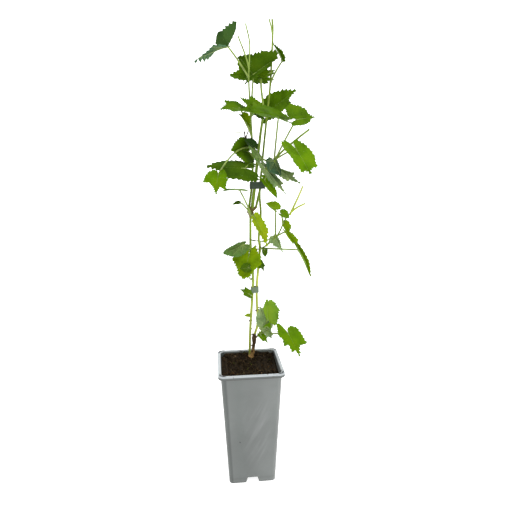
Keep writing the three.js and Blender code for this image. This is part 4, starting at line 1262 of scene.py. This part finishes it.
def rounded_square(half_x, half_y, corner, steps=6):
    """Outline of a rectangle with round corners, each of so many steps."""
    ring = []
    for quarter, (sx, sy) in enumerate([(1, 1), (-1, 1), (-1, -1), (1, -1)]):
        for i in range(steps + 1):
            turn = math.pi / 2 * (quarter + i / steps)
            ring.append((sx * (half_x - corner) + corner * math.cos(turn),
                         sy * (half_y - corner) + corner * math.sin(turn)))
    return np.array(ring)


def tie_patches(patches, tie, kind, seed):
    """Tape wound round the canes in overlapping turns."""
    cx, cy, cz = tie["centre"]
    half_x, half_y = tie["half"]
    slope = math.tan(math.radians(tie["tilt"]))
    deep = -TAPE["thickness"]
    rng = np.random.default_rng(seed)
    for turn in range(TAPE["turns"]):
        width = tie["height"] * rng.uniform(*TAPE["width"])
        middle = (turn + 0.5) / TAPE["turns"] - 0.5
        base = middle * (tie["height"] - width)
        inset = TAPE["inset"] * turn
        rings = []
        for across, out in ((-1, 0), (-0.9, 0), (0.9, 0), (1, 0), (0.9, deep), (-0.9, deep)):
            ring = rounded_square(half_x - inset + out, half_y - inset + out, tie["corner"])
            wobble = TAPE["wobble"] * np.sin(np.arange(len(ring)) * TAPE["wobble_step"] + turn)
            heights = cz + base + across * width / 2 + ring[:, 0] * slope + wobble
            rings.append(np.column_stack([cx + ring[:, 0], cy + ring[:, 1], heights]))
        points = np.concatenate(rings)
        patches.add(points, ring_faces(len(rings), len(rings[0]), closed=True), kind)


# ---------------------------------------------------------------- soil and pot
def wall_side(z):
    """Outer width of the pot's wall at a height."""
    return POT["base"] + (POT["body_top"] - POT["base"]) * z / (POT["height"] - POT["lip_drop"])


def soil_height(x, y):
    """Height of the ground: higher at the back, heaped at the trunk, softly lumpy."""
    away = np.hypot(x - TRUNK["foot"][0], y - TRUNK["foot"][1]) / SOIL["heap_spread"]
    wide, deep, slant = SOIL["lump_waves"]
    lumps = SOIL["lumps"] * (np.sin(x * wide + 1) * np.cos(y * deep) + np.sin((x - y) * slant))
    rise = SOIL["back_rise"] * np.maximum(0, y) / (POT["body_top"] / 2)
    return SOIL["level"] + rise + SOIL["heap"] * np.exp(-away ** 2) + lumps


def soil_patches(patches):
    """Ground filling the pot, with crumbs, chips and fibres lying on it."""
    inside = POT["wall"] + SOIL["gap"]
    steps = SOIL["corner_steps"]
    half = wall_side(SOIL["level"]) / 2 - inside
    foot_half = wall_side(POT["floor"]) / 2 - inside
    foot = rounded_square(foot_half, foot_half, POT["base_corner"], steps)
    flat = np.concatenate([rounded_square(half * share, half * share, POT["top_corner"] * share, steps)
                           for share in np.linspace(1, SOIL["middle"], SOIL["rings"])])
    level = np.column_stack([flat, np.zeros(len(flat))])
    fine = sum(lattice_noise(level, spacing, SOIL["grain_seed"]) * height
               for spacing, height in SOIL["grain"])
    top = np.column_stack([flat, soil_height(flat[:, 0], flat[:, 1]) + fine])
    bottom = np.column_stack([foot, np.full(len(foot), POT["floor"] + SOIL["gap"])])
    patches.add(np.vstack([bottom, top]), ring_faces(SOIL["rings"] + 1, len(foot)), "ground")
    rng = np.random.default_rng(SOIL["crumb_seed"])
    add_crumbs(patches, half - CRUMBS["edge"], rng)
    add_fibres(patches, half - FIBRES["edge"], rng)


def add_crumbs(patches, reach, rng):
    """Small uneven lumps dealt over the ground."""
    lump = [(0, 1, 2), (0, 2, 4), (0, 4, 5), (0, 5, 1), (3, 2, 1), (3, 4, 2), (3, 5, 4), (3, 1, 5)]
    kinds = list(CRUMBS["kinds"])
    chances = list(CRUMBS["kinds"].values())
    for _ in range(CRUMBS["count"]):
        x, y = rng.uniform(-reach, reach, 2)
        sizes = CRUMBS["small"] if rng.random() < CRUMBS["small_share"] else CRUMBS["large"]
        size = rng.uniform(*sizes)
        spin = rng.normal(size=(3, 3))
        corners = unit(np.vstack([spin, -spin])) * size * rng.uniform(*CRUMBS["uneven"], (6, 1))
        centre = np.array([x, y, float(soil_height(x, y)) + size / 2])
        patches.add(centre + corners, lump, str(rng.choice(kinds, p=chances)))


def add_fibres(patches, reach, rng):
    """Bent fibres and strands of moss lying on the ground."""
    for _ in range(FIBRES["count"]):
        x, y = rng.uniform(-reach, reach, 2)
        turn = rng.uniform(0, 2 * math.pi)
        length = rng.uniform(*FIBRES["length"])
        steps = np.linspace(-0.5, 0.5, FIBRES["points"]) * length
        bend = rng.uniform(*FIBRES["bend"])
        px = x + steps * math.cos(turn) - (steps / length * 2) ** 2 * bend * math.sin(turn)
        py = y + steps * math.sin(turn) + (steps / length * 2) ** 2 * bend * math.cos(turn)
        lift = FIBRES["lift"] + rng.uniform(*FIBRES["lift_vary"], FIBRES["points"])
        kind = "moss" if rng.random() < FIBRES["moss_share"] else "fibre"
        path = np.column_stack([px, py, soil_height(px, py) + lift])
        patches.add(*tube(path, FIBRES["radius"][kind], FIBRES["sides"]), kind)


def pot_piece():
    """The moulded pot, worked from one cube."""
    bpy.ops.object.select_all(action="DESELECT")
    skirt = POT["height"] - POT["lip_drop"]
    bpy.ops.mesh.primitive_cube_add(size=1, location=(0, 0, skirt / 2 * MM))
    pot = bpy.context.active_object
    pot.name = "pot_body"
    pot.scale = (POT["base"] * MM, POT["base"] * MM, skirt * MM)
    bpy.ops.object.transform_apply(location=True, rotation=False, scale=True)
    bpy.ops.object.mode_set(mode="EDIT")
    bpy.ops.mesh.select_mode(type="EDGE")
    pick(pot, "edges", lambda e: abs(e.verts[0].co.z - e.verts[1].co.z) > skirt * MM / 2)
    bpy.ops.mesh.bevel(offset=POT["base_corner"] * MM, segments=POT_ROUNDING["corner"], profile=0.5)
    bpy.ops.mesh.select_mode(type="FACE")
    pick(pot, "faces", lambda f: f.normal.z < -FACING)
    extrude((POT["base"] - 2 * POT["foot_wall"]) / POT["base"], 0)
    extrude(1, POT["floor"] - POT["base_thickness"])
    pick(pot, "faces", lambda f: f.normal.z > FACING and f.calc_center_median().z > skirt * MM / 2)
    grow(POT["body_top"] / POT["base"])
    extrude(POT["rim"] / POT["body_top"], 0)
    extrude(1, POT["lip_drop"])
    inner_top = wall_side(POT["height"]) - 2 * POT["wall"]
    extrude(inner_top / POT["rim"], 0)
    inner_foot = wall_side(POT["floor"]) - 2 * POT["wall"]
    extrude(inner_foot / inner_top, POT["floor"] - POT["height"])
    bpy.ops.mesh.select_mode(type="EDGE")
    pick(pot, "edges", lambda e: level_at(e, POT["height"]))
    bpy.ops.mesh.bevel(offset=POT["lip_round"] * MM, segments=POT_ROUNDING["lip"], profile=0.5)
    bpy.ops.object.mode_set(mode="OBJECT")
    rounding = pot.modifiers.new("rounded edges", "BEVEL")
    rounding.width = POT["edge_round"] * MM
    rounding.segments = POT_ROUNDING["edge"]
    rounding.limit_method = "ANGLE"
    rounding.angle_limit = SMOOTH["pot"]
    bpy.ops.object.modifier_apply(modifier=rounding.name)
    for side in range(4):
        cut = drain_cutter(side)
        only(pot)
        notch = pot.modifiers.new("drain", "BOOLEAN")
        notch.object = cut
        notch.solver = "EXACT"
        bpy.ops.object.modifier_apply(modifier=notch.name)
        bpy.data.objects.remove(cut)
    only(pot)
    bpy.ops.object.shade_smooth_by_angle(angle=SMOOTH["pot"])
    return pot


def level_at(edge, height):
    return all(abs(vert.co.z - height * MM) < LEVEL_WITHIN for vert in edge.verts)


def pick(piece, kind, test):
    """Selects the parts of the mesh being edited that pass a test."""
    bpy.ops.mesh.select_all(action="DESELECT")
    mesh = bmesh.from_edit_mesh(piece.data)
    for part in getattr(mesh, kind):
        part.select_set(bool(test(part)))
    mesh.select_flush_mode()
    bmesh.update_edit_mesh(piece.data)


def grow(factor):
    """Widens what is selected about the pot's axis."""
    bpy.ops.transform.resize(value=(factor, factor, 1), center_override=(0, 0, 0))


def extrude(factor, rise):
    """Draws new faces out of the selected ones, raised in millimetres and widened."""
    bpy.ops.mesh.extrude_region_move(TRANSFORM_OT_translate={"value": (0, 0, rise * MM)})
    grow(factor)


def drain_cutter(side):
    """A block narrower at its top, standing where one side's drain notch is cut."""
    bpy.ops.object.select_all(action="DESELECT")
    depth = DRAIN["inward"] + DRAIN["past_wall"]
    height = DRAIN["height"] + DRAIN["past_foot"]
    middle = POT["base"] / 2 - DRAIN["inward"] + depth / 2
    turn = side * math.pi / 2
    bpy.ops.mesh.primitive_cube_add(size=1, location=(0, 0, 0))
    cut = bpy.context.active_object
    cut.scale = (DRAIN["width"] * MM, depth * MM, height * MM)
    bpy.ops.object.transform_apply(location=False, rotation=False, scale=True)
    bpy.ops.object.mode_set(mode="EDIT")
    bpy.ops.mesh.select_mode(type="FACE")
    pick(cut, "faces", lambda f: f.normal.z > FACING)
    bpy.ops.transform.resize(value=(DRAIN["top_width"] / DRAIN["width"], 1, 1))
    bpy.ops.object.mode_set(mode="OBJECT")
    cut.rotation_euler = (0, 0, turn)
    cut.location = (math.sin(turn) * middle * MM, -math.cos(turn) * middle * MM,
                    (height / 2 - DRAIN["past_foot"]) * MM)
    bpy.ops.object.transform_apply(location=True, rotation=True, scale=True)
    return cut


# ---------------------------------------------------------------- operators
class GrapevineFoliage(bpy.types.PropertyGroup):
    gloss: bpy.props.FloatProperty(
        name="Leaf roughness", description="Roughness of the leaves' faces", default=0.45, min=0.2, max=0.9)


class GrapevinePot(bpy.types.PropertyGroup):
    roughness: bpy.props.FloatProperty(
        name="Pot roughness", description="Roughness of the pot's wall", default=0.42, min=0.1, max=0.9)


class GrapevineStage(bpy.types.PropertyGroup):
    floor_size: bpy.props.FloatProperty(
        name="Floor size", description="Side of the floor", default=8.0, min=1.0, unit="LENGTH")


class GRAPEVINE_OT_foliage(bpy.types.Operator):
    """Leaves with teeth and veins, on their stalks"""
    bl_idname = "grapevine.foliage"
    bl_label = "Foliage"

    def execute(self, context):
        gloss = context.scene.grapevine_foliage.gloss
        finishes = {"stalk": stem_finish("leaf_stalk", STALK_TINT, shade(STALK_TINT, STALK_DULL))}
        # Leaf materials from the tints, among them lit and shaded copies that paint light and shade on the
        # leaves.
        for name, colour in LEAF_TINTS_AND_PAINTED_LIGHT.items():
            finishes[name] = leaf_finish("leaf_" + name, colour, gloss)
            finishes["under " + name] = leaf_finish("leaf_back_" + name, colour, gloss + BACK_DULLER)
            finishes["rib " + name] = finish("vein_" + name, blend(colour, VEIN_TINT, VEIN_SHARE), gloss)
        for group, leaves in foliage_groups().items():
            blades, veins, stalks = Patches(), Patches(), Patches()
            for number, leaf in leaves:
                add_blade(leaf, number, blades, veins)
                add_stalk(leaf, stalks)
            nodes = [name for name in MASSES if GROUP_OF[name] == group]
            blades.finish(f"{group}_blades", finishes, nodes, "foliage")
            veins.finish(f"{group}_veins", finishes, nodes, "foliage")
            stalks.finish(f"{group}_stalks", finishes, nodes, "foliage")
        return {"FINISHED"}


class GRAPEVINE_OT_canes(bpy.types.Operator):
    """Green canes and tendrils"""
    bl_idname = "grapevine.canes"
    bl_label = "Canes"

    def execute(self, context):
        canes = Patches()
        nodes = {name: [] for name in CANES}
        for leaves in foliage_groups().values():
            for _, leaf in leaves:
                nodes[leaf["on"]].append(leaf["node"])
        for name in CANES:
            canes.add(*cane_points(name, nodes[name]), CANE_KIND.get(name, "fresh"))
        for number, (cane, low, high) in enumerate(DRIED):
            path = [on_cane(cane, height) for height in np.linspace(low, high, DRIED_POINTS)]
            knobs(canes, path, KNOBS["cane"], "dried", KNOBS["cane"]["seed"] + number)
        finishes = {kind: cane_finish("cane_" + kind, *colours) for kind, colours in CANE_TINTS.items()}
        canes.finish("green_canes", finishes, BOUGH_NODES, "green_cane")
        return {"FINISHED"}


class GRAPEVINE_OT_wood(bpy.types.Operator):
    """Barked trunk and knot"""
    bl_idname = "grapevine.wood"
    bl_label = "Old wood"

    def execute(self, context):
        finishes = {kind: cane_finish("wood_" + kind, *colours) for kind, colours in WOOD_TINTS.items()}
        trunk, knot = Patches(), Patches()
        trunk_patches(trunk)
        trunk.finish("trunk_bark", finishes, ["trunk"], "old_wood")
        knot_patches(knot)
        knot.finish("knot_bark", finishes, ["knot"], "old_wood")
        return {"FINISHED"}


class GRAPEVINE_OT_ties(bpy.types.Operator):
    """Wound tape ties"""
    bl_idname = "grapevine.ties"
    bl_label = "Ties"

    def execute(self, context):
        for number, (name, tie) in enumerate(TIES.items()):
            tape = Patches()
            tie_patches(tape, tie, "tape", number)
            skin = finish(f"tape_{name}", TAPE_TINTS[name], TAPE["roughness"])
            tape.finish(f"{name}_tape", {"tape": skin}, [f"{name}_tie"], "tape")
        return {"FINISHED"}


class GRAPEVINE_OT_soil(bpy.types.Operator):
    """Crumbly soil"""
    bl_idname = "grapevine.soil"
    bl_label = "Soil"

    def execute(self, context):
        ground = Patches()
        soil_patches(ground)
        finishes = {kind: soil_finish("soil_" + kind, colour) for kind, colour in SOIL_TINTS.items()}
        ground.finish("potting_soil", finishes, ["soil"], "soil", angle=SMOOTH["soil"])
        return {"FINISHED"}


class GRAPEVINE_OT_pot(bpy.types.Operator):
    """Moulded square pot"""
    bl_idname = "grapevine.pot"
    bl_label = "Pot"

    def execute(self, context):
        pot = pot_piece()
        roughness = context.scene.grapevine_pot.roughness
        pot.data.materials.append(pot_finish("pot_wall", roughness))
        pot.data.materials.append(lip_finish("pot_lip", roughness))
        for face in pot.data.polygons:
            face.material_index = int(face.center.z > (POT["height"] - POT["lip_drop"]) * MM)
        register_piece(pot, ["pot"])
        return {"FINISHED"}


class GRAPEVINE_OT_stage(bpy.types.Operator):
    """Pale floor and backdrop, soft light and camera"""
    bl_idname = "grapevine.stage"
    bl_label = "Stage"

    def execute(self, context):
        size = context.scene.grapevine_stage.floor_size
        screens = (("pale_floor", (0, 0, 0), 0, STAGE["floor_glow"]),
                   ("pale_backdrop", (0, size / 2, size / 2), math.pi / 2, STAGE["backdrop_glow"]))
        for name, spot, turn, glow in screens:
            bpy.ops.object.select_all(action="DESELECT")
            bpy.ops.mesh.primitive_plane_add(size=size, location=spot, rotation=(turn, 0, 0))
            screen = context.active_object
            bpy.ops.object.transform_apply(location=True, rotation=True, scale=True)
            screen.name = name
            paint = finish(name, STAGE["grey"], STAGE["roughness"])
            shader = paint.node_tree.nodes["Principled BSDF"]
            shader.inputs["Emission Color"].default_value = (1, 1, 1, 1)
            shader.inputs["Emission Strength"].default_value = glow
            screen.data.materials.append(paint)
        world = bpy.data.worlds.new("pale_world")
        world.use_nodes = True
        background = world.node_tree.nodes["Background"]
        background.inputs["Color"].default_value = (1, 1, 1, 1)
        background.inputs["Strength"].default_value = STAGE["world"]
        context.scene.world = world
        for name, spot, energy, width in LAMPS:
            bpy.ops.object.light_add(type="AREA", location=spot)
            lamp = context.active_object
            lamp.name = name
            lamp.data.energy = energy
            lamp.data.size = width
            aim = Vector(LAMP_AIM) - lamp.location
            lamp.rotation_euler = aim.to_track_quat("-Z", "Y").to_euler()
        context.scene.view_settings.view_transform = "Standard"
        set_camera(context.scene)
        return {"FINISHED"}


def set_camera(scene):
    """The viewing place and direction, from degrees of yaw, pitch and roll."""
    yaw, pitch, roll = (math.radians(angle) for angle in CAMERA["yaw_pitch_roll"])
    ahead = Vector((math.sin(yaw) * math.cos(pitch), math.cos(yaw) * math.cos(pitch), -math.sin(pitch)))
    level = Vector((math.cos(yaw), -math.sin(yaw), 0))
    up = level.cross(ahead)
    right = math.cos(roll) * level + math.sin(roll) * up
    top = math.cos(roll) * up - math.sin(roll) * level
    data = bpy.data.cameras.new("view")
    data.lens = CAMERA["lens"]
    data.sensor_width = CAMERA["sensor"]
    data.clip_start = CAMERA["nearest"]
    camera = bpy.data.objects.new("view", data)
    scene.collection.objects.link(camera)
    turned = Matrix((right, top, -ahead)).transposed().to_4x4()
    turned.translation = CAMERA["place"]
    camera.matrix_world = turned
    scene.camera = camera


class GRAPEVINE_PT_panel(bpy.types.Panel):
    """Buttons for each group of pieces"""
    bl_idname = "GRAPEVINE_PT_panel"
    bl_label = "Grapevine"
    bl_space_type = "VIEW_3D"
    bl_region_type = "UI"
    bl_category = "Grapevine"

    def draw(self, context):
        column = self.layout.column()
        for operator in OPERATORS:
            column.operator(operator.bl_idname)
        column.prop(context.scene.grapevine_foliage, "gloss")
        column.prop(context.scene.grapevine_pot, "roughness")
        column.prop(context.scene.grapevine_stage, "floor_size")


OPERATORS = (GRAPEVINE_OT_foliage, GRAPEVINE_OT_canes, GRAPEVINE_OT_wood, GRAPEVINE_OT_ties,
             GRAPEVINE_OT_soil, GRAPEVINE_OT_pot, GRAPEVINE_OT_stage)
SETTINGS = {"grapevine_foliage": GrapevineFoliage, "grapevine_pot": GrapevinePot,
            "grapevine_stage": GrapevineStage}


def register():
    for group in SETTINGS.values():
        bpy.utils.register_class(group)
    for made in (*OPERATORS, GRAPEVINE_PT_panel):
        bpy.utils.register_class(made)
    for name, group in SETTINGS.items():
        setattr(bpy.types.Scene, name, bpy.props.PointerProperty(type=group))


def unregister():
    for name in SETTINGS:
        delattr(bpy.types.Scene, name)
    for made in (GRAPEVINE_PT_panel, *reversed(OPERATORS), *SETTINGS.values()):
        bpy.utils.unregister_class(made)


def main():
    register()
    for operator in OPERATORS:
        group, name = operator.bl_idname.split(".")
        getattr(getattr(bpy.ops, group), name)()
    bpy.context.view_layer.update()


if __name__ == "__main__":
    main()
